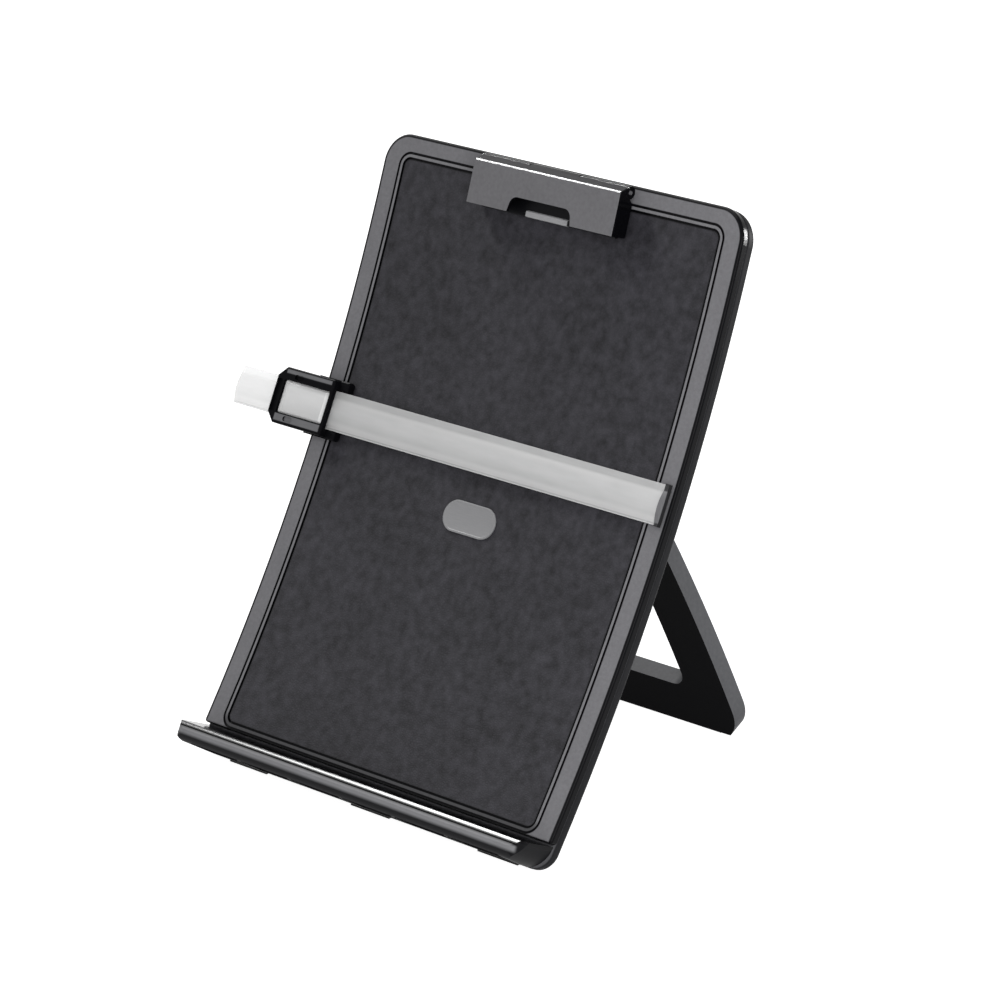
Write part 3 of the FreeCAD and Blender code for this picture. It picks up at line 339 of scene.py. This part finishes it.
def moulded(name, front, side, roughness, gloss, front_way=FACE_WAY):
    """Injection moulded plastic: fine spark grain, faint flow marks, and a second colour on faces turned from
    the front: painted shade on the shell's and clip's sides, painted light on the leg's edges.
    """
    finish = new_finish(name)
    fine, satin, flow = grain_layers(finish)
    # Painted light and shade: faces turned from the front way take the side colour
    shade = finish.blend(finish.facing(front_way, 0.45, 0.90), side, front)
    return finish.surface(
        Base_Color=finish.tint(shade, 0.70 + 0.16 * fine + 0.34 * satin + 0.12 * flow),
        Roughness=roughness - 0.05 + 0.10 * flow,
        Normal=finish.relief(fine, finish.sizes.moulded_relief),
        Specular_IOR_Level=gloss,
    )


def smooth_moulded(finish, shade, spread, roughness, drift, gloss):
    """Close a material without grain, whose shade and roughness drift a little along the flow."""
    flow = finish.noise(20 * finish.sizes.moulded_grain, 2.0)
    return finish.surface(
        Base_Color=finish.tint(shade, 1.0 - spread / 2 + spread * flow),
        Roughness=roughness + drift * flow,
        Specular_IOR_Level=gloss,
    )


def from_centre(finish):
    """Way and distance of a point from the centre of the board's arc."""
    return finish.vector("SUBTRACT", finish.place(), tuple(ARC_CENTRE))


def depth_behind_face(finish):
    """How far a point lies behind the board's face, along the radius of its bow."""
    return finish.length(finish.vector("MULTIPLY", from_centre(finish), (0.0, 1.0, 1.0))) - FACE_RADIUS


def level_above(finish, height):
    """How far a point lies above a height on the board, along the face's tangent there."""
    seat = on_board(0.0, height, 0.0)
    upward = seat.to_3x3() @ Vector((0.0, 0.0, 1.0))
    return finish.along(finish.vector("SUBTRACT", finish.place(), tuple(seat.translation)), upward)


def height_on_chord(finish):
    """Height of a point above the frame's foot, measured along the board's straight chord."""
    return finish.along(from_centre(finish), (0.0, math.sin(LEAN), math.cos(LEAN))) + HALF_CHORD


def sideways(finish):
    """Distance from the board's middle, to the left or to the right."""
    return finish.size_of(finish.along(finish.place(), (1.0, 0.0, 0.0)))


def from_outline(finish, low, half_width, half_height, radius):
    """Distance outwards from a rounded rectangle on the board, true down to its radius inwards."""
    apart = finish.size_of(height_on_chord(finish) - (low + half_height))
    sockets = {0: sideways(finish), 1: apart, 2: 0.0}
    corner = (half_width - radius, half_height - radius, 0.0)
    past = finish.vector("SUBTRACT", finish.node("ShaderNodeCombineXYZ", None, sockets), corner)
    return finish.length(finish.vector("MAXIMUM", past, (0.0, 0.0, 0.0))) - radius


def from_raised_line(finish):
    """Distance outwards from the middle of the raised line."""
    return from_outline(finish, LINE_LOW, LINE_HALF_WIDTH, LINE_HALF_HEIGHT, LINE_RADIUS)


def from_rim(finish):
    """Distance outwards from the board's outline, whose lower round corners lie below its square foot."""
    half_height = HALF_CHORD + BOARD_RADIUS / 2
    return from_outline(finish, -BOARD_RADIUS, BOARD_HALF_WIDTH, half_height, BOARD_RADIUS)


def frame_finish():
    """Grey on the face, with a painted highlight on the raised line, painted black shade in the grooves
    beside it, round the rim and down the sides, and painted shade on the line's low run under the ledge.
    """
    finish = new_finish("frame_satin")
    tones = finish.tones
    fine, satin, flow = grain_layers(finish)
    at_face = finish.band(depth_behind_face(finish), FACE_START, FACE_END)
    front = at_face * finish.facing(FACE_WAY, 0.90, 0.965)
    apart = finish.size_of(from_raised_line(finish))
    unshaded_area = finish.ramp(apart, *GROOVE_EDGE) * finish.fade(from_rim(finish), *RIM_EDGE)
    # Painted shade: the raised line darkens along its low run, under the ledge's lip
    clear_of_ledge_shade = 0.35 + 0.65 * finish.ramp(height_on_chord(finish), 3.0 * MM, 9.0 * MM)
    line = clear_of_ledge_shade * finish.fade(apart, *LINE_EDGE)
    # Painted shade: black where the face is grooved, near the rim or turned from the front; grey only on the
    # open face
    shade = finish.blend(unshaded_area * front, tones.painted_side_shade, tones.frame_band)
    # Painted highlight along the raised line
    shade = finish.blend(line * front, shade, tones.frame_line_highlight)
    return finish.surface(
        Base_Color=finish.tint(shade, 0.67 + 0.20 * fine + 0.36 * satin + 0.12 * flow),
        Roughness=0.14 + 0.20 * front + 0.50 * finish.facing(EDGE_WAY, 0.87, 0.93) + 0.08 * flow,
        Normal=finish.relief(fine, finish.sizes.moulded_relief),
        Specular_IOR_Level=0.06,
    )


def shell_finish():
    tones = settings().colours
    return moulded("shell_moulded", tones.shell, tones.shell_side_shade, 0.44, 0.02)


def clip_finish():
    tones = settings().colours
    # Painted shade: the clip's front is grey, its sides and roof take the black side shade
    return moulded("clip_satin", tones.clip, tones.painted_side_shade, 0.13, 0.07)


def jaw_finish():
    """Plate painted in black shade inside the finger notch, with a pale lip along the part of its low edge
    that shows there.
    """
    finish = new_finish("jaw_moulded")
    low = finish.fade(level_above(finish, CLIP_HINGE_HEIGHT), -19.9 * MM, -19.5 * MM)
    lip = low * finish.fade(sideways(finish), 13.4 * MM, 13.9 * MM)
    # Painted shade: all but the lip takes the black side shade
    shade = finish.blend(lip, finish.tones.painted_side_shade, finish.tones.jaw)
    return smooth_moulded(finish, shade, 0.20, 0.34, 0.06, 0.08)


def slider_finish():
    """Black, with a painted grey sheen on the flats of the rails above and below the window that face the
    front.
    """
    finish = new_finish("slider_gloss")
    level = level_above(finish, GUIDE_HEIGHT)
    high_rail = finish.band(level, (11.6 * MM, 12.3 * MM), (13.6 * MM, 14.2 * MM))
    low_rail = finish.band(level, (-13.0 * MM, -12.3 * MM), (-9.3 * MM, -8.9 * MM))
    between = finish.band(sideways(finish), (105.4 * MM, 106.2 * MM), (137.2 * MM, 138.0 * MM))
    flat = (high_rail + low_rail) * between * finish.facing(FACE_WAY, 0.93, 0.98)
    # Painted sheen: the front flats take the slider_front grey
    shade = finish.blend(flat, finish.tones.slider, finish.tones.slider_front)
    return smooth_moulded(finish, shade, 0.28, 0.40, 0.08, 0.02)


def clamp_finish():
    tones = settings().colours
    return moulded("clamp_gloss", tones.slider, tones.slider, 0.46, 0.02)


def cap_finish():
    """Smoky grey over the lens, with painted black shade along its back edge next to the board."""
    finish = new_finish("cap_smoky")
    # Painted shade: black towards the cap's back edge, where it meets the board
    behind = finish.ramp(depth_behind_face(finish), -5.1 * MM, -4.6 * MM)
    shade = finish.blend(behind, finish.tones.slider_front, finish.tones.slider)
    return smooth_moulded(finish, shade, 0.28, 0.34, 0.08, 0.04)


def ledge_finish():
    """Polished black that carries a hard line of light along the lip, with a painted grey sheen in a band on
    its nose.
    """
    finish = new_finish("ledge_gloss")
    flow = finish.noise(40 * finish.sizes.moulded_grain, 2.0)
    drop = 0.0 - height_on_chord(finish)
    # Painted sheen: a grey band on the front of the nose
    nose = finish.band(drop, (5.3 * MM, 6.6 * MM), (7.8 * MM, 9.9 * MM)) * finish.facing(FACE_WAY, 0.70, 0.88)
    below_lip = finish.ramp(drop, 3.9 * MM, 4.6 * MM)
    shade = finish.blend(nose, finish.tones.ledge, finish.tones.ledge_nose_sheen)
    return finish.surface(
        Base_Color=finish.tint(shade, 0.88 + 0.24 * flow),
        Roughness=0.11 + 0.36 * below_lip + 0.04 * flow,
        Specular_IOR_Level=0.075,
    )


def leg_finish():
    """Faces painted black as in shade, and edges painted paler as lit."""
    tones = settings().colours
    return moulded("leg_moulded", tones.leg, tones.leg_edge_lit, 0.40, 0.012, LEG_WAY)


def sheet_finish():
    """Leather grain pressed into a dark sheet: pebbles with creases between them, pores and clouding, with
    painted shade along the groove beside the raised line.
    """
    finish = new_finish("sheet_leather_grain")
    grain = finish.sizes.sheet_grain
    pebbles = finish.ramp(finish.cells(grain), 0.0, 0.32)
    wander = finish.noise(3.4 * grain, 3.0)
    pores = finish.noise(0.45 * grain, 2.0)
    cloud = finish.noise(22 * grain, 2.0)
    # Painted shade: the sheet darkens where it meets the groove beside the raised line
    clear_of_groove_shade = finish.ramp(finish.size_of(from_raised_line(finish)), 1.8 * MM, 2.6 * MM)
    level = 0.14 * pebbles + 1.85 * wander + 0.75 * cloud - 0.405
    height = 0.40 * pebbles + 0.70 * wander + 0.20 * pores
    return finish.surface(
        Base_Color=finish.tint(finish.tones.sheet, level * (0.35 + 0.65 * clear_of_groove_shade)),
        Roughness=0.62 - 0.06 * pebbles + 0.08 * cloud,
        Normal=finish.relief(height, finish.sizes.sheet_relief),
        Specular_IOR_Level=0.09,
    )


def badge_finish():
    """Satin foil with a fine brushing along its length."""
    finish = new_finish("badge_satin")
    brushing = finish.noise(0.25 * MM, 2.0, finish.drawn(0.05))
    return finish.surface(
        Base_Color=finish.tint(finish.tones.badge, 0.90 + 0.20 * brushing),
        Roughness=0.40 + 0.12 * brushing,
        Normal=finish.relief(brushing, 0.006 * MM),
        Specular_IOR_Level=0.16,
    )


def milky_finish(name, cover, front=1.0, gloss=0.2):
    """Clear plastic with a milky body, a painted highlight on its bevels, a painted dark line near its low
    edge and darker towards the bottom, with what lies behind showing faintly.
    """
    finish = new_finish(name)
    cloud = finish.noise(5 * MM, 2.0, finish.drawn(0.22))
    scuff = finish.ramp(finish.noise(0.8 * MM, 4.0), 0.55, 0.8)
    level = level_above(finish, GUIDE_HEIGHT)
    thick = 1.0 - 0.26 * finish.ramp(level, 5.2 * MM, 7.2 * MM)
    # Painted dark line along the lens near its low edge, and a body darker towards the bottom
    painted_dark_line = finish.fade(finish.size_of(level + 8.4 * MM), 0.4 * MM, 1.3 * MM)
    falling = finish.fade(level, -8.5 * MM, 2.0 * MM)
    shade = front * (0.92 + 0.12 * cloud) * (1.0 - 0.16 * falling - 0.22 * painted_dark_line)
    body = finish.tint(finish.tones.bar, shade)
    flat = finish.facing(FACE_WAY, 0.955, 0.985)
    return finish.surface(
        # Painted highlight: bevels that turn from the front are near white
        Base_Color=finish.blend(flat, finish.tones.bar_bevel_highlight, body),
        Roughness=0.20 + 0.10 * scuff + 0.05 * cloud,
        Alpha=thick * (cover - 0.03 + 0.06 * cloud),
        Normal=finish.relief(cloud, 0.02 * MM),
        IOR=1.49,
        Specular_IOR_Level=gloss,
    )


def rubber_finish():
    """Matt rubber, dusted."""
    finish = new_finish("pad_rubber_matt")
    dust = finish.noise(0.5 * MM, 4.0)
    return finish.surface(
        Base_Color=finish.tint(finish.tones.rubber, 0.8 + 0.5 * dust),
        Roughness=0.78 + 0.10 * dust,
        Normal=finish.relief(dust, 0.03 * MM),
        Specular_IOR_Level=0.3,
    )


def steel_finish(name, roughness, streak):
    """Bright steel with fine drawn or turned lines."""
    finish = new_finish(name)
    lines = finish.noise(0.12 * MM, 2.0, finish.drawn(streak))
    return finish.surface(
        Base_Color=finish.tint(finish.tones.steel, 0.85 + 0.3 * lines),
        Metallic=1.0,
        Roughness=roughness - 0.06 + 0.12 * lines,
        Normal=finish.relief(lines, 0.004 * MM),
    )


def nylon_finish():
    """Natural nylon with a soft haze."""
    finish = new_finish("washer_nylon_natural")
    haze = finish.noise(1.0 * MM, 2.0)
    return finish.surface(
        Base_Color=finish.tint(finish.tones.nylon, 0.94 + 0.1 * haze),
        Roughness=0.45 + 0.1 * haze,
        Normal=finish.relief(haze, 0.01 * MM),
        Subsurface_Weight=0.2,
        Subsurface_Scale=0.5 * MM,
    )


def dress(material, *nodes):
    """Give carried-over pieces of the frame their finish."""
    for node in nodes:
        piece = frame["nodes"][node]
        for slot in piece.material_slots:
            slot.material = material
        if not piece.material_slots:
            piece.data.materials.append(material)


def mesh_from(name, maker):
    """Mesh that a function fills, with its faces turned outwards."""
    sculpt = bmesh.new()
    maker(sculpt)
    bmesh.ops.recalc_face_normals(sculpt, faces=sculpt.faces)
    data = bpy.data.meshes.new(name)
    sculpt.to_mesh(data)
    sculpt.free()
    return data


def add_object(name, data):
    """Object of a mesh, a light or a camera, in the scene."""
    made = bpy.data.objects.new(name, data)
    bpy.context.scene.collection.objects.link(made)
    return made


def mesh_piece(name, body, material, maker):
    """Make a piece from a bmesh, give it its finish and let it ride on a body."""
    piece = add_object(name, mesh_from(name, maker))
    piece.data.materials.append(material)
    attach(piece, body)
    return piece


def smooth(piece, angle=35.0):
    """Shade smooth across all but the sharp edges."""
    limit = math.radians(angle)
    for polygon in piece.data.polygons:
        polygon.use_smooth = True
    sculpt = bmesh.new()
    sculpt.from_mesh(piece.data)
    for edge in sculpt.edges:
        edge.smooth = len(edge.link_faces) == 2 and edge.calc_face_angle() < limit
    sculpt.to_mesh(piece.data)
    sculpt.free()


def loft(sculpt, rings):
    """Join rings of points, each as long as the next, into one closed skin."""
    rows = [[sculpt.verts.new(point) for point in ring] for ring in rings]
    count = len(rows[0])
    for lower, upper in zip(rows, rows[1:]):
        for index in range(count):
            after = (index + 1) % count
            sculpt.faces.new((lower[index], lower[after], upper[after], upper[index]))
    sculpt.faces.new(rows[0])
    sculpt.faces.new(rows[-1])


def stadium(length, height, steps):
    """Points round an oval with straight sides and round ends."""
    radius = height / 2
    run = length / 2 - radius
    points = []
    for side, start in ((1, -math.pi / 2), (-1, math.pi / 2)):
        for step in range(steps + 1):
            angle = start + math.pi * step / steps
            points.append((side * run + radius * math.cos(angle), radius * math.sin(angle)))
    return points


def badge_profile():
    """Inset and depth pairs from the badge's back, over its raised rim, to its dished floor."""
    back = 0.30 * MM
    front = -0.50 * MM
    edge = 0.22 * MM
    rim = settings().sizes.badge_rim
    dish = 0.16 * MM
    steps = 5
    pairs = [(0.0, back)]
    for step in range(steps + 1):
        angle = math.pi / 2 * step / steps
        pairs.append((edge - edge * math.cos(angle), front + edge - edge * math.sin(angle)))
    for step in range(steps + 1):
        share = step / steps
        pairs.append((rim + dish * 2 * share, front + dish * (1 - math.cos(math.pi * share)) / 2))
    return pairs


def bend(height):
    """How far the badge is bent back at a height above or below its middle."""
    return height ** 2 / (2 * FACE_RADIUS)


def build_badge(sculpt):
    """Badge lofted from its back to its floor, on the board's face."""
    sizes = settings().sizes
    place = on_board(0.0, BADGE_HEIGHT, 0.0)
    rings = []
    for inset, depth in badge_profile():
        outline = stadium(sizes.badge_length - 2 * inset, sizes.badge_height - 2 * inset, 24)
        rings.append([place @ Vector((x, depth + bend(z), z)) for x, z in outline])
    loft(sculpt, rings)


def lathe(sculpt, profile, segments=32):
    """Turn a profile of radius and depth pairs about the Y axis."""
    rings = []
    for radius, depth in profile:
        ring = []
        for index in range(segments):
            angle = 2 * math.pi * index / segments
            ring.append(Vector((radius * math.cos(angle), depth, radius * math.sin(angle))))
        rings.append(ring)
    loft(sculpt, rings)


def head_profile(radius, height, shank, length):
    """Screw along Y with its seat at 0: the shank towards -Y, the domed head towards +Y."""
    point = 0.6 * shank
    rim = 0.45 * height
    dome = 0.45 * radius
    steps = 6
    pairs = [(0.15 * shank, -length), (shank, -length + point), (shank, 0.0), (radius, 0.0), (radius, rim)]
    for step in range(1, steps + 1):
        angle = math.pi / 2 * step / steps
        pairs.append((radius - dome * (1 - math.cos(angle)), rim + (height - rim) * math.sin(angle)))
    return pairs


def cross_cutter(sculpt, radius, height):
    """Two crossed wedges that leave a cross recess in a screw's head."""
    reach = 0.62 * radius
    half = 0.13 * radius
    corners = ((-1, -1), (1, -1), (1, 1), (-1, 1))
    sections = ((0.25 * height, 0.5 * reach, 0.7 * half), (1.3 * height, reach, half))
    for turn in (0.0, math.pi / 2):
        spin = Matrix.Rotation(turn, 4, "Y")
        loft(sculpt, [
            [spin @ Vector((x * across, depth, z * thick)) for x, z in corners]
            for depth, across, thick in sections
        ])


def screw_mesh(radius, height, shank, length):
    """Mesh of one pan head screw with a cross recess."""
    profile = head_profile(radius, height, shank, length)
    blank = add_object("screw_blank", mesh_from("screw_blank", lambda sculpt: lathe(sculpt, profile)))
    wedges = mesh_from("screw_cutter", lambda sculpt: cross_cutter(sculpt, radius, height))
    cutter = add_object("screw_cutter", wedges)
    cut = blank.modifiers.new("recess", "BOOLEAN")
    cut.object = cutter
    cut.operation = "DIFFERENCE"
    cut.solver = "EXACT"
    cut.use_self = True
    bpy.context.view_layer.update()
    result = bpy.data.meshes.new_from_object(blank.evaluated_get(bpy.context.evaluated_depsgraph_get()))
    for solid in (blank, cutter):
        bpy.data.objects.remove(solid)
    return result


def screw_group(name, node, body, places, screw, material):
    """One piece that holds all the screws of a kind and replaces their CAD node."""
    template = screw_mesh(*screw)

    def make(sculpt):
        for place in places:
            before = len(sculpt.verts)
            sculpt.from_mesh(template)
            sculpt.verts.ensure_lookup_table()
            bmesh.ops.transform(sculpt, matrix=place, verts=sculpt.verts[before:])

    piece = mesh_piece(name, body, material, make)
    smooth(piece)
    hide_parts(node)


def bar_outline():
    """Section of the guide bar in depth and height: flat back, flat strip on top, long lens below."""
    half = 10.0 * MM
    back = -2.7 * MM
    edge = back - 1.6 * MM
    crown = back - 3.2 * MM
    strip = half - 3.0 * MM
    lens_low = 0.8 * MM - half
    radius = settings().sizes.bar_round
    corners = [(back, -half), (back, half), (edge, half)]
    outline = []
    for (depth, height), start in zip(corners, (math.pi * 1.5, 0.0, math.pi / 2)):
        outline.extend(corner_arc(depth, height, radius, start))
    outline.append((edge, strip))
    middle = (strip + lens_low) / 2
    reach = (strip - lens_low) / 2
    steps = 18
    for step in range(1, steps):
        share = 1 - 2 * step / steps
        outline.append((edge + (crown - edge) * (1 - share ** 2), middle + reach * share))
    outline.append((edge, lens_low))
    outline.extend(corner_arc(edge, -half, radius, math.pi))
    return outline


def corner_arc(depth, height, radius, start, steps=4):
    """Quarter round inside a corner; the start angle is measured from the depth axis."""
    middle = start + math.pi / 4
    centre_depth = depth - math.copysign(radius, math.cos(middle))
    centre_height = height - math.copysign(radius, math.sin(middle))
    angles = [start + math.pi / 2 * step / steps for step in range(steps + 1)]
    return [(centre_depth + radius * math.cos(a), centre_height + radius * math.sin(a)) for a in angles]


def build_bar(sculpt):
    """Guide bar drawn as a loft along X, with its free end eased about its core."""
    low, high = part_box("guide_bar")
    ease = settings().sizes.bar_round
    place = on_board(0.0, GUIDE_HEIGHT, 0.0)
    core = -4.0 * MM
    outline = bar_outline()
    stations = ((low.x, 0.96), (low.x + 0.5 * ease, 0.985), (low.x + ease, 1.0), (high.x, 1.0))
    loft(sculpt, [
        [place @ Vector((x, core + (depth - core) * share, height * share)) for depth, height in outline]
        for x, share in stations
    ])


class HOLDER_OT_board(bpy.types.Operator):
    """Finish the board: frame, grained sheet, shell, ledge and pads."""

    bl_idname = "holder.board"
    bl_label = "Board"

    def execute(self, context):
        dress(frame_finish(), "front_frame")
        dress(sheet_finish(), "texture_panel")
        dress(shell_finish(), "back_shell", "leg_bracket_left", "leg_bracket_right")
        dress(ledge_finish(), "paper_ledge")
        dress(rubber_finish(), "front_foot_pads", "leg_foot_strip", "clip_grip_pad")
        return {"FINISHED"}


class HOLDER_OT_badge(bpy.types.Operator):
    """Make the bare badge with its raised rim."""

    bl_idname = "holder.badge"
    bl_label = "Badge"

    def execute(self, context):
        badge = mesh_piece("badge", "board", badge_finish(), build_badge)
        smooth(badge)
        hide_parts("badge_plate")
        return {"FINISHED"}


class HOLDER_OT_clip(bpy.types.Operator):
    """Finish the paper clip, its jaw, pin and spring."""

    bl_idname = "holder.clip"
    bl_label = "Clip"

    def execute(self, context):
        dress(clip_finish(), "clip_cover")
        dress(jaw_finish(), "clip_jaw")
        dress(steel_finish("pin_ground_steel", 0.24, 0.02), "clip_hinge_pin", "leg_hinge_pin")
        dress(steel_finish("spring_drawn_steel", 0.30, 0.3), "clip_spring", "carriage_friction_spring")
        return {"FINISHED"}


class HOLDER_OT_guide(bpy.types.Operator):
    """Make the milky guide bar and finish its carriage."""

    bl_idname = "holder.guide"
    bl_label = "Line Guide"

    def execute(self, context):
        milky = milky_finish("bar_milky", 0.49, gloss=0.05)
        bar = mesh_piece("guide_bar_milky", "guide_bar", milky, build_bar)
        smooth(bar, 25.0)
        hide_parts("guide_bar")
        dress(milky_finish("window_milky", 0.86, 0.90), "carriage_window")
        dress(slider_finish(), "guide_carriage")
        dress(clamp_finish(), "carriage_clamp", "carriage_back_jaw")
        dress(cap_finish(), "bar_end_cap")
        return {"FINISHED"}


class HOLDER_OT_leg(bpy.types.Operator):
    """Finish the folding leg and its washers."""

    bl_idname = "holder.leg"
    bl_label = "Leg"

    def execute(self, context):
        dress(leg_finish(), "support_leg")
        dress(nylon_finish(), "leg_hinge_washers")
        return {"FINISHED"}


def shell_screw_places():
    """Heads sunk in the back shell, three on each side rim."""
    across = 111.65 * MM
    inset = 31.1 * MM
    seat = 9.0 * MM
    heights = (inset, HALF_CHORD, 2 * HALF_CHORD - inset)
    return [on_board(side * across, height, seat) for side in (-1, 1) for height in heights]


def leg_hinge_place():
    """Height and depth on the board of the joint on which the leg swings."""
    outward = joint_place("leg_hinge") - ARC_CENTRE
    angle = math.atan2(outward.z, outward.y)
    return (angle + HALF_ARC + LEAN) * FACE_RADIUS, outward.length - FACE_RADIUS


def bracket_screw_places():
    """Two heads on each leg bracket's plate, above and below the hinge."""
    height, depth = leg_hinge_place()
    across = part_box("leg_bracket_right")[1].x - 6.0 * MM
    plate = 2.0 * MM
    seat = SHELL_BACK + plate - depth
    spread = 5.0 * MM
    base = on_board(0.0, height, depth)
    return [
        base @ Matrix.Translation((side * across, seat, level * spread))
        for side in (-1, 1)
        for level in (-1, 1)
    ]


def carriage_screw_places():
    """Two heads on the back jaw, in line with the middle of the clamp's wall."""
    cheek = 2.4 * MM
    half_wall = 1.5 * MM
    spread = 6.0 * MM
    across = BOARD_HALF_WIDTH + RUNNING_GAP + half_wall
    seat = SHELL_BACK + RUNNING_GAP + cheek
    base = on_board(0.0, GUIDE_HEIGHT, 0.0)
    return [base @ Matrix.Translation((-across, seat, level * spread)) for level in (-1, 1)]


class HOLDER_OT_screws(bpy.types.Operator):
    """Make the screws of the shell, the brackets and the carriage."""

    bl_idname = "holder.screws"
    bl_label = "Screws"

    def execute(self, context):
        steel = steel_finish("screw_zinc", 0.34, 1.0)
        on_shell = ("board", shell_screw_places(), (*LARGE_SCREW, 6.5 * MM))
        on_brackets = ("board", bracket_screw_places(), (*LARGE_SCREW, 6.0 * MM))
        on_jaw = ("carriage", carriage_screw_places(), (*SMALL_SCREW, 8.0 * MM))
        screw_group("shell_screw_set", "shell_screws", *on_shell, steel)
        screw_group("bracket_screw_set", "bracket_screws", *on_brackets, steel)
        screw_group("carriage_screw_set", "carriage_screws", *on_jaw, steel)
        return {"FINISHED"}


CAMERA_PLACE = Vector((1.508, -1.522, 0.8750))
CAMERA_AIM = Vector((0.1478, -0.0669, 0.2097))
CAMERA_LENS = 170.7
CAMERA_SENSOR = 36.0
FLOOR_HALF = 12.0
BOARD_MIDDLE = Vector((0.0, 0.05, 0.14))


def seen_straight(finish):
    """1 for rays that reach the camera directly, by gloss or through a clear piece."""
    outputs = ("Is Camera Ray", "Is Glossy Ray", "Is Transmission Ray")
    straight, by_gloss, through = [finish.node("ShaderNodeLightPath", output=name) for name in outputs]
    return finish.node("ShaderNodeClamp", None, {"Value": straight + by_gloss + through})


def floor_finish():
    """Matt floor that shows white to the camera."""
    levels = settings().stage
    finish = new_finish("floor_pale")
    matt = finish.node("ShaderNodeBsdfDiffuse", None, {"Color": opaque([levels.floor] * 3)})
    glow = finish.node("ShaderNodeEmission", None, {"Strength": levels.floor_glow * seen_straight(finish)})
    both = finish.node("ShaderNodeAddShader", None, {0: matt, 1: glow})
    finish.node("ShaderNodeOutputMaterial", None, {"Surface": both})
    return finish.owner


def lay_floor():
    """Wide floor on which the holder stands."""
    sculpt = bmesh.new()
    bmesh.ops.create_grid(sculpt, x_segments=4, y_segments=4, size=FLOOR_HALF)
    data = bpy.data.meshes.new("floor")
    sculpt.to_mesh(data)
    sculpt.free()
    data.materials.append(floor_finish())
    floor = add_object("floor", data)


def light_room():
    """Even white light all round, and plain white where the camera or a reflection sees it."""
    levels = settings().stage
    world = bpy.data.worlds.new("room")
    bpy.context.scene.world = world
    finish = Finish(world)
    strength = levels.room + (1.0 - levels.room) * seen_straight(finish)
    sky = finish.node("ShaderNodeBackground", None, {"Color": (1.0, 1.0, 1.0, 1.0), "Strength": strength})
    finish.node("ShaderNodeOutputWorld", None, {"Surface": sky})


def soft_light(name, way, distance, size, brightness, roll=0.0):
    """Rectangular light that faces the board; its power follows from its brightness and area."""
    width, height = size
    data = bpy.data.lights.new(name, "AREA")
    data.shape = "RECTANGLE"
    data.size = width
    data.size_y = height
    data.energy = brightness * math.pi * width * height
    lamp = add_object(name, data)
    lamp.location = BOARD_MIDDLE + Vector(way).normalized() * distance
    aim = (BOARD_MIDDLE - lamp.location).to_track_quat("-Z", "Y")
    lamp.rotation_euler = (aim @ Quaternion((0.0, 0.0, 1.0), roll)).to_euler()
    return lamp


def light_board():
    """Two lights that add gloss alone, overhead and behind, and a broad one at the right."""
    levels = settings().stage
    sweep = math.radians(42.0)
    strip = soft_light("strip_light", (-0.65, 0.07, 0.76), 3.0, (2.2, 0.45), levels.strip)
    corner = soft_light("corner_light", (0.561, 0.815, 0.143), 1.33, (0.69, 0.12), levels.corner, sweep)
    strip.visible_diffuse = corner.visible_diffuse = False
    soft_light("side_light", (0.75, -0.60, 0.35), 0.8, (0.5, 0.5), levels.side)


def place_camera():
    """Camera of the reference view."""
    data = bpy.data.cameras.new("camera")
    data.lens = CAMERA_LENS
    data.sensor_width = CAMERA_SENSOR
    data.clip_end = 100.0
    camera = add_object("camera", data)
    camera.location = CAMERA_PLACE
    camera.rotation_euler = (CAMERA_AIM - CAMERA_PLACE).to_track_quat("-Z", "Y").to_euler()
    bpy.context.scene.camera = camera


class HOLDER_OT_stage(bpy.types.Operator):
    """Set up the pale floor, the lights and the camera."""

    bl_idname = "holder.stage"
    bl_label = "Stage"

    def execute(self, context):
        lay_floor()
        light_room()
        light_board()
        place_camera()
        context.scene.view_settings.view_transform = "Standard"
        return {"FINISHED"}


OPERATORS = (
    HOLDER_OT_board,
    HOLDER_OT_badge,
    HOLDER_OT_clip,
    HOLDER_OT_guide,
    HOLDER_OT_leg,
    HOLDER_OT_screws,
    HOLDER_OT_stage,
)


class HOLDER_PT_pieces(bpy.types.Panel):
    """The copy holder's pieces and settings."""

    bl_label = "Copy Holder"
    bl_idname = "HOLDER_PT_pieces"
    bl_space_type = "VIEW_3D"
    bl_region_type = "UI"
    bl_category = "Copy Holder"

    def draw(self, context):
        for operator in OPERATORS:
            self.layout.operator(operator.bl_idname)
        for group in (settings().colours, settings().sizes, settings().stage):
            box = self.layout.box()
            for name in group.__annotations__:
                box.prop(group, name)


CLASSES = (HolderColours, HolderSizes, HolderStage, HolderSettings, *OPERATORS, HOLDER_PT_pieces)


def register():
    for cls in CLASSES:
        bpy.utils.register_class(cls)
    bpy.types.Scene.copy_holder = PointerProperty(type=HolderSettings)


def unregister():
    del bpy.types.Scene.copy_holder
    for cls in reversed(CLASSES):
        bpy.utils.unregister_class(cls)


def main():
    register()
    for operator in OPERATORS:
        group, name = operator.bl_idname.split(".")
        getattr(getattr(bpy.ops, group), name)()


if __name__ == "__main__":
    main()
